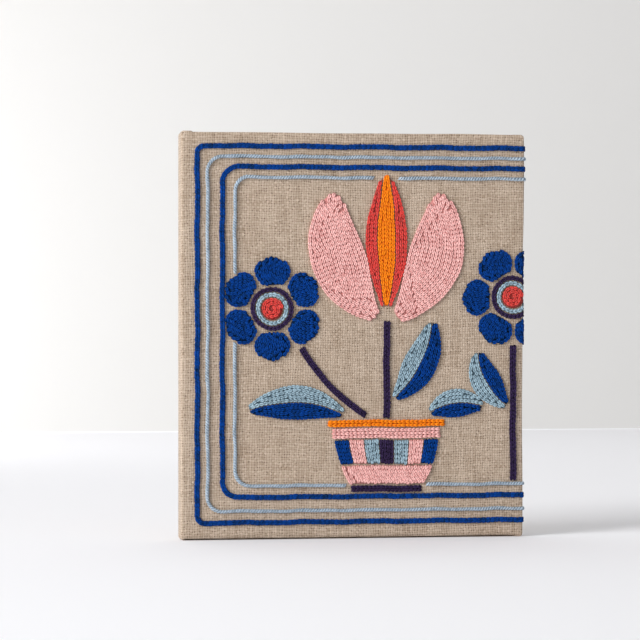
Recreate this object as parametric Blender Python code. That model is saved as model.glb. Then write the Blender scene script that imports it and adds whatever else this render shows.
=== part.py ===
"""A yarn painting on linen, stretched over a wooden frame that stands on its bottom side.

Metres, with +Z up. The front faces -Y, and the origin is the middle of the bottom side.

Everything stitched is first drawn on a flat pattern of the linen, in millimetres: u runs along the
front from its left edge and on round the right-hand edge, v runs up from the bottom edge, and h is
the height above the linen. Each shape is then laid on the stretched linen, bent round the edge
where it crosses it.
"""

import math
from collections import namedtuple

import bmesh
import bpy
from mathutils import Matrix, Vector

MM = 0.001
COLLECTION = "YarnPainting"
HELPERS = "Cutters"

# Stretched linen, in millimetres
WIDTH = 305.0
HEIGHT = 356.0
DEPTH = 21.6
LINEN_THICKNESS = 1.0
EDGE_RADIUS = 1.5
CORNER_RADIUS = 2.5
ROUND_STEPS = 3
TURNOVER = 28.0
HEM_CUTS = 5
HEM_WAVE = 0.8
HEM_WAVE_LENGTH = 115.0

# Folded linen on the top side near its corners: where along the front, how high, how soft its ends
TopFold = namedtuple("TopFold", "name low_u high_u rise softness")
TOP_FOLDS = [
    TopFold("fold_top_left", 1.2, 9.6, 1.1, 0.8),
    TopFold("fold_top_right", 226.0, 288.0, 0.8, 12.0),
]
TOP_FOLD_INSET = 0.5

# Folded linen on the back, a triangle up to each corner's mitre
BACK_FOLD_INSET = 3.0
BACK_FOLD_REACH = 25.5
BACK_FOLD_RISE = 0.9

# Stretcher bars, in millimetres
BAR_WIDTH = 38.0
BAR_THICKNESS = 19.0
BAR_LIP = 5.0
BAR_SLOPE = 2.5
BAR_EASING = 0.6
CLEARANCE = 0.3

# Yarn, in millimetres above the linen and across a row
YARN_BASE = 0.3
YARN_EDGE = 1.0
YARN_VALLEY = 1.7
YARN_CREST = 2.4
ROW_END = 0.7
STATION = 13.0
SEAM = 0.4
WOBBLE = 0.55
WOBBLE_LENGTH = 58.0

# The round of the right-hand edge on the flat pattern
BEND_START = WIDTH - EDGE_RADIUS
BEND_LENGTH = EDGE_RADIUS * math.pi / 2
BEND_STEPS = 4
BACK_MARGIN = 4.0
SIDE_END = BEND_START + BEND_LENGTH + DEPTH - EDGE_RADIUS - BACK_MARGIN

# Where the three plants stand along the front
POT_U = 182.0
LEFT_FLOWER = (80.0, 202.0)
RIGHT_FLOWER = (296.0, 212.0)
PETALS = 6
PETAL_START = 20.2
DISC_STEPS = 18

Colour = namedtuple("Colour", "srgb roughness metallic")
COLOURS = {
    "linen": Colour("C0AC96", 0.92, 0.0),
    "pine": Colour("D8B98C", 0.65, 0.0),
    "royal_blue": Colour("12498F", 0.85, 0.0),
    "light_blue": Colour("A9C0CA", 0.85, 0.0),
    "aubergine": Colour("2E2140", 0.88, 0.0),
    "pink": Colour("EDA29D", 0.86, 0.0),
    "red": Colour("C22E26", 0.85, 0.0),
    "orange": Colour("F07A18", 0.84, 0.0),
}

# A line of border yarn: how far its middle lies from the edges, its width and its corners' radius
Border = namedtuple("Border", "left top bottom width radius colour")
OUTER_BLUE = Border(14.0, 12.0, 15.0, 4.6, 6.0, "royal_blue")
OUTER_PALE = Border(23.0, 21.0, 25.0, 2.8, 13.0, "light_blue")
INNER_BLUE = Border(36.0, 30.0, 37.0, 4.6, 15.0, "royal_blue")
INNER_PALE = Border(47.0, 39.0, 47.0, 2.8, 13.0, "light_blue")
BORDER_STATION = 30.0
BORDER_CORNER_STEPS = 5
BORDER_ENDS = 1.6
BEAD_SHOULDER = 0.28
BEAD_HEIGHT = 2.1

# How far the innermost line stops short of the middle of the tulip, the flower and the pot
TULIP_GAP = 11.0
FLOWER_GAP = 30.0
POT_GAP = 36.0

# A stitched shape grows from its root along a line that turns evenly, and its ends may be rounded
Shape = namedtuple("Shape", "u v heading length turn root middle tip root_round tip_round")
FOOT = Shape(POT_U - 32.0, 43.6, 0.0, 64.0, 0.0, 6.4, 6.4, 6.4, 0.0, 0.0)
LOWER_POT = Shape(POT_U, 47.4, 90.0, 17.0, 0.0, 66.0, 76.0, 82.0, 0.0, 0.0)
BLOCKS = Shape(POT_U, 65.0, 90.0, 22.0, 0.0, 83.0, 90.0, 94.0, 0.0, 0.0)
UPPER_POT = Shape(POT_U - 48.5, 92.4, 0.0, 97.0, 0.0, 9.6, 9.6, 9.6, 0.0, 0.0)
RIM = Shape(POT_U - 53.0, 101.2, 0.0, 106.0, 0.0, 6.8, 6.8, 6.8, 1.5, 1.5)
MAIN_STEM = Shape(POT_U, 105.4, 90.0, 86.0, 0.0, 6.8, 6.8, 6.8, 0.0, 0.5)
HEART = Shape(POT_U, 204.0, 90.0, 116.0, 0.0, 10.0, 38.0, 11.0, 0.0, 11.0)
LEFT_PETAL = Shape(POT_U - 9.5, 194.0, 139.0, 122.0, -61.0, 11.0, 50.0, 16.0, 2.0, 13.0)
RIGHT_PETAL = Shape(POT_U + 9.5, 194.0, 41.0, 122.0, 61.0, 11.0, 50.0, 16.0, 2.0, 13.0)
LEFT_STEM = Shape(POT_U - 18.0, 107.6, 148.0, 84.5, -28.0, 6.4, 6.4, 6.4, 0.0, 0.5)
RIGHT_STEM = Shape(296.0, 50.0, 90.0, 120.0, 0.0, 6.4, 6.4, 6.4, 0.0, 0.5)
FAR_LEFT_LEAF = Shape(POT_U - 39.0, 110.0, 156.0, 86.0, 44.0, 8.0, 31.0, 9.0, 0.0, 4.0)
LOW_RIGHT_LEAF = Shape(POT_U + 39.0, 110.0, 34.0, 50.0, -54.0, 8.0, 26.0, 9.0, 0.0, 4.0)
MAIN_LEAF = Shape(POT_U + 7.0, 124.0, 40.0, 76.0, 46.0, 8.0, 31.0, 9.0, 0.0, 4.0)
EDGE_LEAF = Shape(290.0, 116.0, 143.0, 56.0, -50.0, 8.0, 28.0, 9.0, 0.0, 4.0)
FLOWER_PETAL = Shape(0.0, 0.0, 0.0, 26.0, 0.0, 17.0, 33.0, 16.0, 1.0, 7.0)

# A patch is one colour of a shape, between two shares of its half-width, filled with rows
Patch = namedtuple("Patch", "name shape colour low high rows")
PATCHES = [
    Patch("pot_foot", FOOT, "aubergine", -1.0, 1.0, 2),
    Patch("pot_lower", LOWER_POT, "pink", -1.0, 1.0, 20),
    Patch("pot_upper", UPPER_POT, "pink", -1.0, 1.0, 3),
    Patch("pot_rim", RIM, "orange", -1.0, 1.0, 2),
    Patch("main_stem", MAIN_STEM, "aubergine", -1.0, 1.0, 2),
    Patch("tulip_left_edge", HEART, "red", 0.43, 1.0, 3),
    Patch("tulip_heart", HEART, "orange", -0.43, 0.43, 4),
    Patch("tulip_right_edge", HEART, "red", -1.0, -0.43, 3),
    Patch("tulip_left_petal", LEFT_PETAL, "pink", -1.0, 1.0, 13),
    Patch("tulip_right_petal", RIGHT_PETAL, "pink", -1.0, 1.0, 13),
    Patch("left_stem", LEFT_STEM, "aubergine", -1.0, 1.0, 2),
    Patch("right_stem", RIGHT_STEM, "aubergine", -1.0, 1.0, 2),
    Patch("far_left_leaf_top", FAR_LEFT_LEAF, "light_blue", -1.0, 0.0, 4),
    Patch("far_left_leaf_bottom", FAR_LEFT_LEAF, "royal_blue", 0.0, 1.0, 4),
    Patch("low_right_leaf_top", LOW_RIGHT_LEAF, "light_blue", 0.0, 1.0, 4),
    Patch("low_right_leaf_bottom", LOW_RIGHT_LEAF, "royal_blue", -1.0, 0.0, 4),
    Patch("main_leaf_top", MAIN_LEAF, "light_blue", 0.0, 1.0, 4),
    Patch("main_leaf_bottom", MAIN_LEAF, "royal_blue", -1.0, 0.0, 4),
    Patch("edge_leaf_top", EDGE_LEAF, "light_blue", 0.0, 1.0, 4),
    Patch("edge_leaf_bottom", EDGE_LEAF, "royal_blue", -1.0, 0.0, 4),
]
BLOCK_COLOURS = ["royal_blue", "pink", "light_blue", "aubergine", "light_blue", "pink", "royal_blue"]
BLOCK_ROWS = 4
PETAL_ROWS = 5

# The rings of a flower's centre, from the middle outwards
Ring = namedtuple("Ring", "name inner outer colour rows")
RINGS = [
    Ring("disc", 0.0, 10.2, "red", 3),
    Ring("halo", 10.6, 14.6, "light_blue", 1),
    Ring("outline", 15.0, 19.4, "aubergine", 1),
]


def linear(srgb):
    """Turns a hex colour as seen on a screen into the linear values that a shader takes."""
    values = [int(srgb[i:i + 2], 16) / 255 for i in (0, 2, 4)]
    return [v / 12.92 if v <= 0.04045 else ((v + 0.055) / 1.055) ** 2.4 for v in values] + [1.0]


def make_material(name):
    """One material for each colour of yarn, the linen and the wood."""
    colour = COLOURS[name]
    material = bpy.data.materials.new(name)
    material.use_nodes = True
    shader = material.node_tree.nodes["Principled BSDF"]
    shader.inputs["Base Color"].default_value = linear(colour.srgb)
    shader.inputs["Roughness"].default_value = colour.roughness
    shader.inputs["Metallic"].default_value = colour.metallic
    return material


def add_object(name, mesh, material, collection):
    """Makes an object of a bmesh whose points are in millimetres, and frees the bmesh."""
    bmesh.ops.recalc_face_normals(mesh, faces=mesh.faces)
    if mesh.calc_volume(signed=True) < 0.0:
        bmesh.ops.reverse_faces(mesh, faces=mesh.faces)
    bmesh.ops.scale(mesh, vec=(MM, MM, MM), verts=mesh.verts)
    data = bpy.data.meshes.new(name)
    mesh.to_mesh(data)
    mesh.free()
    obj = bpy.data.objects.new(name, data)
    if material:
        data.materials.append(material)
    collection.objects.link(obj)
    return obj


def add_boolean(obj, cutter, operation):
    """Cuts an object with another, or joins the other to it."""
    modifier = obj.modifiers.new(f"{operation.lower()}_{cutter.name}", "BOOLEAN")
    modifier.operation = operation
    modifier.object = cutter
    cutter.hide_render = True
    cutter.display_type = "WIRE"


def block(size, centre):
    """A box as a bmesh, in millimetres."""
    mesh = bmesh.new()
    bmesh.ops.create_cube(mesh, size=1.0)
    bmesh.ops.scale(mesh, vec=size, verts=mesh.verts)
    bmesh.ops.translate(mesh, vec=centre, verts=mesh.verts)
    return mesh


def round_edges(mesh, edges, radius, steps):
    """Rounds some edges of a bmesh."""
    bmesh.ops.bevel(
        mesh, geom=edges, offset=radius, offset_type="OFFSET", segments=steps,
        profile=0.5, affect="EDGES", material=-1,
    )


def runs_along(edge, axis):
    """Whether an edge runs along one of the three axes."""
    start, end = (vert.co for vert in edge.verts)
    return abs((end - start).normalized()[axis]) > 0.999


def cut_and_close(mesh, point, normal):
    """Cuts off what lies past a plane, and closes the cut."""
    cut = bmesh.ops.bisect_plane(
        mesh, geom=mesh.verts[:] + mesh.edges[:] + mesh.faces[:],
        plane_co=point, plane_no=normal, clear_outer=True,
    )["geom_cut"]
    rim = [item for item in cut if isinstance(item, bmesh.types.BMEdge)]
    bmesh.ops.edgeloop_fill(mesh, edges=rim)


def rounded_block(size, centre, corner_radius, edge_radius):
    """A box with rounded corners, as seen from the front, and then rounded front and back edges."""
    mesh = block(size, centre)
    round_edges(mesh, [e for e in mesh.edges if runs_along(e, 1)], corner_radius, ROUND_STEPS)
    rims = [e for e in mesh.edges if abs(e.verts[0].co.y - e.verts[1].co.y) < 0.001]
    round_edges(mesh, rims, edge_radius, ROUND_STEPS)
    return mesh


def hem_cutter():
    """The opening inside the turned-over linen at the back, whose raw edge runs a little unevenly."""
    across = WIDTH - 2 * TURNOVER
    up = HEIGHT - 2 * TURNOVER
    mesh = block((across, 2 * BAR_THICKNESS, up), (0.0, DEPTH / 2, HEIGHT / 2))
    sides = [e for e in mesh.edges if not runs_along(e, 1)]
    bmesh.ops.subdivide_edges(mesh, edges=sides, cuts=HEM_CUTS, use_grid_fill=False)
    wave = 2 * math.pi / HEM_WAVE_LENGTH
    for vert in mesh.verts:
        vert.co.x += HEM_WAVE * math.sin(vert.co.z * wave)
        vert.co.z += HEM_WAVE * math.sin(vert.co.x * wave + 1.0)
    return mesh


def top_fold(fold):
    """A flap of folded linen that lies across the top side, with sloping ends."""
    middle = (fold.low_u + fold.high_u - WIDTH) / 2
    deep = DEPTH - 2 * (EDGE_RADIUS + TOP_FOLD_INSET)
    mesh = block((fold.high_u - fold.low_u, deep, 2 * fold.rise), (middle, 0.0, HEIGHT))
    for vert in mesh.verts:
        if vert.co.z > HEIGHT:
            vert.co.x += fold.softness if vert.co.x < middle else -fold.softness
    return mesh


def back_fold(side, end):
    """The folded triangle of linen on the back at one corner, up to the mitre."""
    mesh = bmesh.new()
    bmesh.ops.create_circle(mesh, cap_ends=True, segments=3, radius=1.0)
    corners = [
        (BACK_FOLD_INSET, BACK_FOLD_INSET),
        (BACK_FOLD_REACH, BACK_FOLD_INSET),
        (BACK_FOLD_REACH, BACK_FOLD_REACH - 0.5),
    ]
    for vert, (across, up) in zip(mesh.verts, corners):
        vert.co = (
            side * (WIDTH / 2 - across),
            DEPTH / 2 - LINEN_THICKNESS / 2,
            up if end < 0 else HEIGHT - up,
        )
    cap = bmesh.ops.extrude_face_region(mesh, geom=mesh.faces[:])["geom"]
    moved = [item for item in cap if isinstance(item, bmesh.types.BMVert)]
    bmesh.ops.translate(mesh, vec=(0.0, LINEN_THICKNESS / 2 + BACK_FOLD_RISE, 0.0), verts=moved)
    return mesh


def add_linen(collection, helpers, material):
    """The linen: its front, its four sides, the part turned over behind and its corner folds."""
    middle = (0.0, 0.0, HEIGHT / 2)
    outside = rounded_block((WIDTH, DEPTH, HEIGHT), middle, CORNER_RADIUS, EDGE_RADIUS)
    linen = add_object("linen", outside, material, collection)
    folds = [(fold.name, top_fold(fold)) for fold in TOP_FOLDS]
    for side, side_name in ((-1, "left"), (1, "right")):
        for end, end_name in ((-1, "bottom"), (1, "top")):
            folds.append((f"fold_back_{end_name}_{side_name}", back_fold(side, end)))
    for name, mesh in folds:
        add_boolean(linen, add_object(name, mesh, None, helpers), "UNION")
    shell = 2 * LINEN_THICKNESS
    inside = rounded_block(
        (WIDTH - shell, DEPTH - shell, HEIGHT - shell), middle,
        CORNER_RADIUS - LINEN_THICKNESS, EDGE_RADIUS - LINEN_THICKNESS,
    )
    add_boolean(linen, add_object("linen_inside", inside, None, helpers), "DIFFERENCE")
    add_boolean(linen, add_object("hem_opening", hem_cutter(), None, helpers), "DIFFERENCE")


def add_bar(name, length, place, angle, material, collection):
    """One mitred stretcher bar, made along X with its outer edge up, then turned into place."""
    half = length / 2
    front = -BAR_THICKNESS / 2
    mesh = block((length, BAR_THICKNESS, BAR_WIDTH), (0.0, 0.0, -BAR_WIDTH / 2))
    for side in (-1, 1):
        normal = Vector((side, 0.0, -1.0)).normalized()
        cut_and_close(mesh, Vector((side * half, 0.0, 0.0)) - normal * CLEARANCE / 2, normal)
    bmesh.ops.bisect_plane(
        mesh, geom=mesh.verts[:] + mesh.edges[:] + mesh.faces[:],
        plane_co=(0.0, 0.0, -BAR_LIP), plane_no=(0.0, 0.0, 1.0),
    )
    for vert in mesh.verts:
        if vert.co.y < front + 0.001 and vert.co.z < 0.001 - BAR_WIDTH:
            vert.co.y += BAR_SLOPE
    outer = [e for e in mesh.edges if all(v.co.z > -CLEARANCE for v in e.verts)]
    round_edges(mesh, outer, BAR_EASING, 1)
    bmesh.ops.rotate(mesh, cent=(0.0, 0.0, 0.0), matrix=Matrix.Rotation(angle, 3, "Y"), verts=mesh.verts)
    bmesh.ops.translate(mesh, vec=place, verts=mesh.verts)
    add_object(name, mesh, material, collection)


def add_stretcher(collection, material):
    """The four bars, a little clear of the linen that wraps them."""
    clear = LINEN_THICKNESS + CLEARANCE
    across = WIDTH - 2 * clear
    up = HEIGHT - 2 * clear
    middle = HEIGHT / 2
    add_bar("bar_top", across, (0.0, 0.0, HEIGHT - clear), 0.0, material, collection)
    add_bar("bar_right", up, (WIDTH / 2 - clear, 0.0, middle), math.pi / 2, material, collection)
    add_bar("bar_bottom", across, (0.0, 0.0, clear), math.pi, material, collection)
    add_bar("bar_left", up, (clear - WIDTH / 2, 0.0, middle), -math.pi / 2, material, collection)


def wobbled(u, v):
    """A point of the flat pattern, moved a little as a hand-drawn line wanders."""
    wave = 2 * math.pi / WOBBLE_LENGTH
    return (
        u + WOBBLE * math.sin(v * wave + 0.7) + 0.4 * WOBBLE * math.sin(v * wave * 2.3 + u * 0.02),
        v + WOBBLE * math.sin(u * wave + 2.1) + 0.4 * WOBBLE * math.sin(u * wave * 2.3 + v * 0.02),
    )


def place_on_linen(u, v, h):
    """The point of the stretched linen that lies under a point of the flat pattern, raised by h."""
    if u <= BEND_START:
        across, back = u, -h
    elif u < BEND_START + BEND_LENGTH:
        angle = (u - BEND_START) / EDGE_RADIUS
        across = BEND_START + (EDGE_RADIUS + h) * math.sin(angle)
        back = EDGE_RADIUS - (EDGE_RADIUS + h) * math.cos(angle)
    else:
        across = WIDTH + h
        back = EDGE_RADIUS + u - BEND_START - BEND_LENGTH
    return Vector((across - WIDTH / 2, back - DEPTH / 2, v))


def lay_on_linen(mesh):
    """Lays a shape drawn flat on the stretched linen, cut where the right-hand edge bends it."""
    furthest = max(vert.co.x for vert in mesh.verts)
    if furthest > SIDE_END:
        cut_and_close(mesh, Vector((SIDE_END, 0.0, 0.0)), Vector((1.0, 0.0, 0.0)))
    if furthest > BEND_START:
        for step in range(BEND_STEPS + 1):
            bmesh.ops.bisect_plane(
                mesh, geom=mesh.verts[:] + mesh.edges[:] + mesh.faces[:], dist=0.02,
                plane_co=(BEND_START + BEND_LENGTH * step / BEND_STEPS, 0.0, 0.0),
                plane_no=(1.0, 0.0, 0.0),
            )
    for vert in mesh.verts:
        vert.co = place_on_linen(*vert.co)


def row_heights(rows):
    """The lines across a patch, as a share of its width and a height: edge, crest, valley, crest, edge."""
    lines = []
    for step in range(2 * rows + 1):
        height = YARN_CREST if step % 2 else YARN_VALLEY
        if step in (0, 2 * rows):
            height = YARN_EDGE
        lines.append((step / (2 * rows), height))
    return lines


def add_yarn(name, along, across, point_at, material, collection):
    """A raised patch of yarn rows over a grid of shares along and across it, closed underneath.

    point_at gives the place on the flat pattern of a share along and a share across.
    """
    mesh = bmesh.new()
    bmesh.ops.create_grid(mesh, x_segments=len(along) - 1, y_segments=len(across) - 1, size=0.5)
    for vert in mesh.verts:
        a = along[round((vert.co.x + 0.5) * (len(along) - 1))]
        b, height = across[round((vert.co.y + 0.5) * (len(across) - 1))]
        if a in (along[0], along[-1]):
            height = min(height, YARN_EDGE)
        vert.co = (*wobbled(*point_at(a, b)), height)
    rim = [e for e in mesh.edges if e.is_boundary]
    skirt = bmesh.ops.extrude_edge_only(mesh, edges=rim)["geom"]
    for item in skirt:
        if isinstance(item, bmesh.types.BMVert):
            item.co.z = YARN_BASE
    bmesh.ops.edgeloop_fill(mesh, edges=[e for e in mesh.edges if e.is_boundary])
    lay_on_linen(mesh)
    add_object(name, mesh, material, collection)


def shape_point(shape, share_along, share_across, shift):
    """The place of a share along a shape and a share of its half-width, left of its line being +1."""
    rounding = share_across * share_across / shape.length
    start = shape.root_round * rounding
    end = 1.0 - shape.tip_round * rounding
    t = start + share_along * (end - start)
    heading = math.radians(shape.heading)
    turned = heading + math.radians(shape.turn) * t
    if shape.turn:
        radius = shape.length / math.radians(shape.turn)
        u = shape.u + radius * (math.sin(turned) - math.sin(heading))
        v = shape.v - radius * (math.cos(turned) - math.cos(heading))
    else:
        u = shape.u + shape.length * t * math.cos(heading)
        v = shape.v + shape.length * t * math.sin(heading)
    ends = shape.root * (1.0 - t) + shape.tip * t
    swell = shape.middle - (shape.root + shape.tip) / 2
    half = (ends + swell * math.sin(math.pi * t)) / 2
    offset = share_across * half + shift
    return u - offset * math.sin(turned), v + offset * math.cos(turned)


def add_patch(patch, materials, collection):
    """One colour of a shape, a seam's half-width inside its two sides."""
    shape = patch.shape
    steps = max(3, round(shape.length / STATION))
    inner = [i / steps for i in range(1, steps)]
    end = ROW_END / shape.length
    along = [0.0, end] + inner + [1.0 - end, 1.0]

    def point_at(a, b):
        share = patch.low + (patch.high - patch.low) * b
        return shape_point(shape, a, share, SEAM * (0.5 - b))

    add_yarn(patch.name, along, row_heights(patch.rows), point_at, materials[patch.colour], collection)


def add_pot_blocks(materials, collection):
    """The band of coloured blocks round the pot."""
    count = len(BLOCK_COLOURS)
    for i, colour in enumerate(BLOCK_COLOURS):
        low = 1.0 - 2.0 * (i + 1) / count
        patch = Patch(f"pot_block_{i + 1}", BLOCKS, colour, low, low + 2.0 / count, BLOCK_ROWS)
        add_patch(patch, materials, collection)


def add_ring(name, centre, ring, materials, collection):
    """A round patch, or a ring, whose rows run round it."""
    profile = [(ring.inner, YARN_BASE)] if ring.inner else [(0.0, YARN_BASE), (0.0, YARN_VALLEY)]
    for share, height in row_heights(ring.rows):
        if share or ring.inner:
            profile.append((ring.inner + (ring.outer - ring.inner) * share, height))
    profile.append((ring.outer, YARN_BASE))
    mesh = bmesh.new()
    verts = [mesh.verts.new((radius, 0.0, height)) for radius, height in profile]
    edges = [mesh.edges.new(pair) for pair in zip(verts, verts[1:])]
    edges.append(mesh.edges.new((verts[-1], verts[0])))
    bmesh.ops.spin(
        mesh, geom=verts + edges, cent=(0.0, 0.0, 0.0), axis=(0.0, 0.0, 1.0),
        angle=2 * math.pi, steps=DISC_STEPS, use_merge=True,
    )
    bmesh.ops.remove_doubles(mesh, verts=mesh.verts, dist=0.01)
    for vert in mesh.verts:
        place = wobbled(centre[0] + vert.co.x, centre[1] + vert.co.y)
        vert.co = (*place, vert.co.z)
    lay_on_linen(mesh)
    add_object(name, mesh, materials[ring.colour], collection)


def add_flower(name, centre, first_angle, materials, collection):
    """A round flower: its ringed centre and its petals."""
    for ring in RINGS:
        add_ring(f"{name}_{ring.name}", centre, ring, materials, collection)
    for i in range(PETALS):
        degrees = first_angle + 360.0 * i / PETALS
        angle = math.radians(degrees)
        shape = FLOWER_PETAL._replace(
            u=centre[0] + PETAL_START * math.cos(angle),
            v=centre[1] + PETAL_START * math.sin(angle),
            heading=degrees,
        )
        patch = Patch(f"{name}_petal_{i + 1}", shape, "royal_blue", -1.0, 1.0, PETAL_ROWS)
        add_patch(patch, materials, collection)


class BorderPath:
    """The route of a border line: along the top from the right, down the left and back along the bottom."""

    def __init__(self, border):
        self.border = border
        self.top = SIDE_END - border.left - border.radius
        self.arc = border.radius * math.pi / 2
        self.down = HEIGHT - border.top - border.bottom - 2 * border.radius
        self.length = 2 * (self.top + self.arc) + self.down

    def on_top(self, u):
        """The distance along the route to a place on its top run."""
        return SIDE_END - u

    def on_left(self, v):
        """The distance along the route to a place on its left run."""
        return self.top + self.arc + HEIGHT - self.border.top - self.border.radius - v

    def on_bottom(self, u):
        """The distance along the route to a place on its bottom run."""
        return self.length - (SIDE_END - u)

    def point(self, distance, offset):
        """The place at a distance along the route, set off to its right-hand, outer side."""
        border = self.border
        left = border.left + border.radius
        high = HEIGHT - border.top - border.radius
        low = border.bottom + border.radius
        reach = border.radius + offset
        first = self.top
        second = first + self.arc
        third = second + self.down
        fourth = third + self.arc
        if distance <= first:
            return SIDE_END - distance, high + reach
        if distance < second:
            angle = (distance - first) / border.radius
            return left - reach * math.sin(angle), high + reach * math.cos(angle)
        if distance <= third:
            return left - reach, high - (distance - second)
        if distance < fourth:
            angle = (distance - third) / border.radius
            return left - reach * math.cos(angle), low - reach * math.sin(angle)
        return left + (distance - fourth), low - reach

    def stations(self, start, end):
        """The distances at which a stretch of the line has a cross-section."""
        marks = [0.0, self.top, self.top + self.arc, self.top + self.arc + self.down]
        marks += [self.length - self.top, self.length]
        found = {start, start + BORDER_ENDS, end - BORDER_ENDS, end}
        for low, high in zip(marks, marks[1:]):
            is_corner = abs(high - low - self.arc) < 0.001
            steps = BORDER_CORNER_STEPS if is_corner else max(1, round((high - low) / BORDER_STATION))
            found |= {low + (high - low) * i / steps for i in range(steps + 1)}
        kept = sorted(d for d in found if start <= d <= end)
        return [kept[0]] + [b for a, b in zip(kept, kept[1:]) if b - a > 0.5]


def add_border(name, path, start, end, materials, collection):
    """One unbroken stretch of a border line, as a raised bead."""
    half = path.border.width / 2
    across = [
        (0.0, YARN_EDGE), (BEAD_SHOULDER, BEAD_HEIGHT), (1.0 - BEAD_SHOULDER, BEAD_HEIGHT), (1.0, YARN_EDGE),
    ]
    distances = path.stations(start, end)

    def point_at(a, b):
        return path.point(a, half * (1.0 - 2.0 * b))

    add_yarn(name, distances, across, point_at, materials[path.border.colour], collection)


def add_borders(materials, collection):
    """The four lines round the picture. The innermost gives way to the flower, the tulip and the pot."""
    whole = [("border_1", OUTER_BLUE), ("border_2", OUTER_PALE), ("border_3", INNER_BLUE)]
    for name, border in whole:
        path = BorderPath(border)
        add_border(name, path, 0.0, path.length, materials, collection)
    path = BorderPath(INNER_PALE)
    stretches = [
        ("border_4_top_right", 0.0, path.on_top(POT_U + TULIP_GAP)),
        ("border_4_top_left", path.on_top(POT_U - TULIP_GAP), path.on_left(LEFT_FLOWER[1] + FLOWER_GAP)),
        ("border_4_lower_left", path.on_left(LEFT_FLOWER[1] - FLOWER_GAP), path.on_bottom(POT_U - POT_GAP)),
        ("border_4_lower_right", path.on_bottom(POT_U + POT_GAP), path.length),
    ]
    for name, start, end in stretches:
        add_border(name, path, start, end, materials, collection)


def add_yarn_work(materials, collection):
    """All that is stitched on the linen."""
    add_borders(materials, collection)
    for patch in PATCHES:
        add_patch(patch, materials, collection)
    add_pot_blocks(materials, collection)
    add_flower("left_flower", LEFT_FLOWER, 90.0, materials, collection)
    add_flower("right_flower", RIGHT_FLOWER, 60.0, materials, collection)


def main():
    """Clears the scene and builds the whole piece."""
    for obj in list(bpy.data.objects):
        bpy.data.objects.remove(obj, do_unlink=True)
    collection = bpy.data.collections.new(COLLECTION)
    helpers = bpy.data.collections.new(HELPERS)
    bpy.context.scene.collection.children.link(collection)
    bpy.context.scene.collection.children.link(helpers)
    materials = {name: make_material(name) for name in COLOURS}
    add_linen(collection, helpers, materials["linen"])
    add_stretcher(collection, materials["pine"])
    add_yarn_work(materials, collection)


main()
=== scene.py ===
"""Looks of a yarn painting: wool in chain stitch and couched cord, on linen stretched over pine bars.

Metres, with +Z up and the front towards -Y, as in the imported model. All that is stitched is placed
on a flat pattern of the linen, in millimetres: u runs along the front from its left edge and on
round the right-hand edge, v runs up from the bottom edge, and h is the height above the linen.
"""

import logging
import math
from collections.abc import Callable, Sequence
from dataclasses import dataclass, field
from enum import Enum
from functools import partial

import bmesh
import bpy
import numpy as np
from bmesh.types import BMEdge, BMesh, BMVert
from mathutils import Matrix, Vector


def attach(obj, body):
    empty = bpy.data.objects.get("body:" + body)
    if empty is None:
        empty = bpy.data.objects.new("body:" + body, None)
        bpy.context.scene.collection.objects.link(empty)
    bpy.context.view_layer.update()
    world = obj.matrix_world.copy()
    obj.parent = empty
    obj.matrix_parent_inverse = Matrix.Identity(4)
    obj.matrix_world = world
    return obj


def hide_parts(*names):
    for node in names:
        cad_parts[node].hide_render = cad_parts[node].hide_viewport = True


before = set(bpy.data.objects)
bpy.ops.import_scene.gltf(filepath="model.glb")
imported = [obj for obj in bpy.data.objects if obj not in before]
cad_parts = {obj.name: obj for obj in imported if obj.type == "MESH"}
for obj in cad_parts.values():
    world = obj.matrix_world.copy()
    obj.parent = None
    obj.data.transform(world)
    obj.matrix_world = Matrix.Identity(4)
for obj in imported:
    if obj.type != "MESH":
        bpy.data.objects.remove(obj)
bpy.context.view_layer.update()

LOG = logging.getLogger("yarn_painting")
BODY = "root"
MM = 0.001
SEED = 20

Array = np.ndarray
Colour = tuple[float, float, float, float]
Point = tuple[float, float, float]
Socket = bpy.types.NodeSocket
Sockets = dict[str | int, Socket | float | Sequence[float]]
AddNode = Callable[..., Socket]

# Stretched linen, in millimetres, as in the CAD
WIDTH = 305.0
HEIGHT = 356.0
DEPTH = 21.6
LINEN_THICKNESS = 1.0
EDGE_RADIUS = 1.5
CORNER_RADIUS = 2.5
TURNOVER = 28.0
HEM_WAVE = 0.8
HEM_WAVE_LENGTH = 115.0
BACK_FOLD_INSET = 3.0
BACK_FOLD_REACH = 25.5
BACK_FOLD_RISE = 0.9
BAR_WIDTH = 38.0

# How far back the cloth is pulled under the front's bottom edge, which leaves a dark line on the table
BOTTOM_TUCK = 6.5

# The round of the right-hand edge on the flat pattern, and where what goes round it ends: beds and
# rows at SIDE_END, links before they reach LINK_BACK
BEND_START = WIDTH - EDGE_RADIUS
BEND_LENGTH = EDGE_RADIUS * math.pi / 2
BEND_STEPS = 4
BACK_MARGIN = 4.0
LINK_BACK = DEPTH / 2 - BACK_MARGIN + 0.6
SIDE_END = BEND_START + BEND_LENGTH + DEPTH - EDGE_RADIUS - BACK_MARGIN

# How much flatter the wool lies once it is pulled round that edge
EDGE_SQUASH = 0.4

# The maker's hand: its unevenness, drawn in one order, the wander of its lines, and the seam between patches
HAND = np.random.default_rng(SEED)
WOBBLE = 0.3
WOBBLE_LENGTH = 58.0
SEAM = 0.4

# Where the three plants stand along the front, and what the round flowers measure
POT_U = 182.0
LEFT_FLOWER = (80.0, 202.0)
RIGHT_FLOWER = (296.0, 212.0)
DISC_RADIUS = 10.2
DISC_LEAD = 0.15
DISC_EYE = 0.7
RING_SEGMENTS = 24
RING_START = 0.6
PETALS = 6
PETAL_START = 20.2
PETAL_LENGTH = 26.0

# How far the innermost line stops short of the middle of the tulip, the flower and the pot
TULIP_GAP = 11.0
FLOWER_GAP = 30.0
POT_GAP = 36.0

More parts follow.
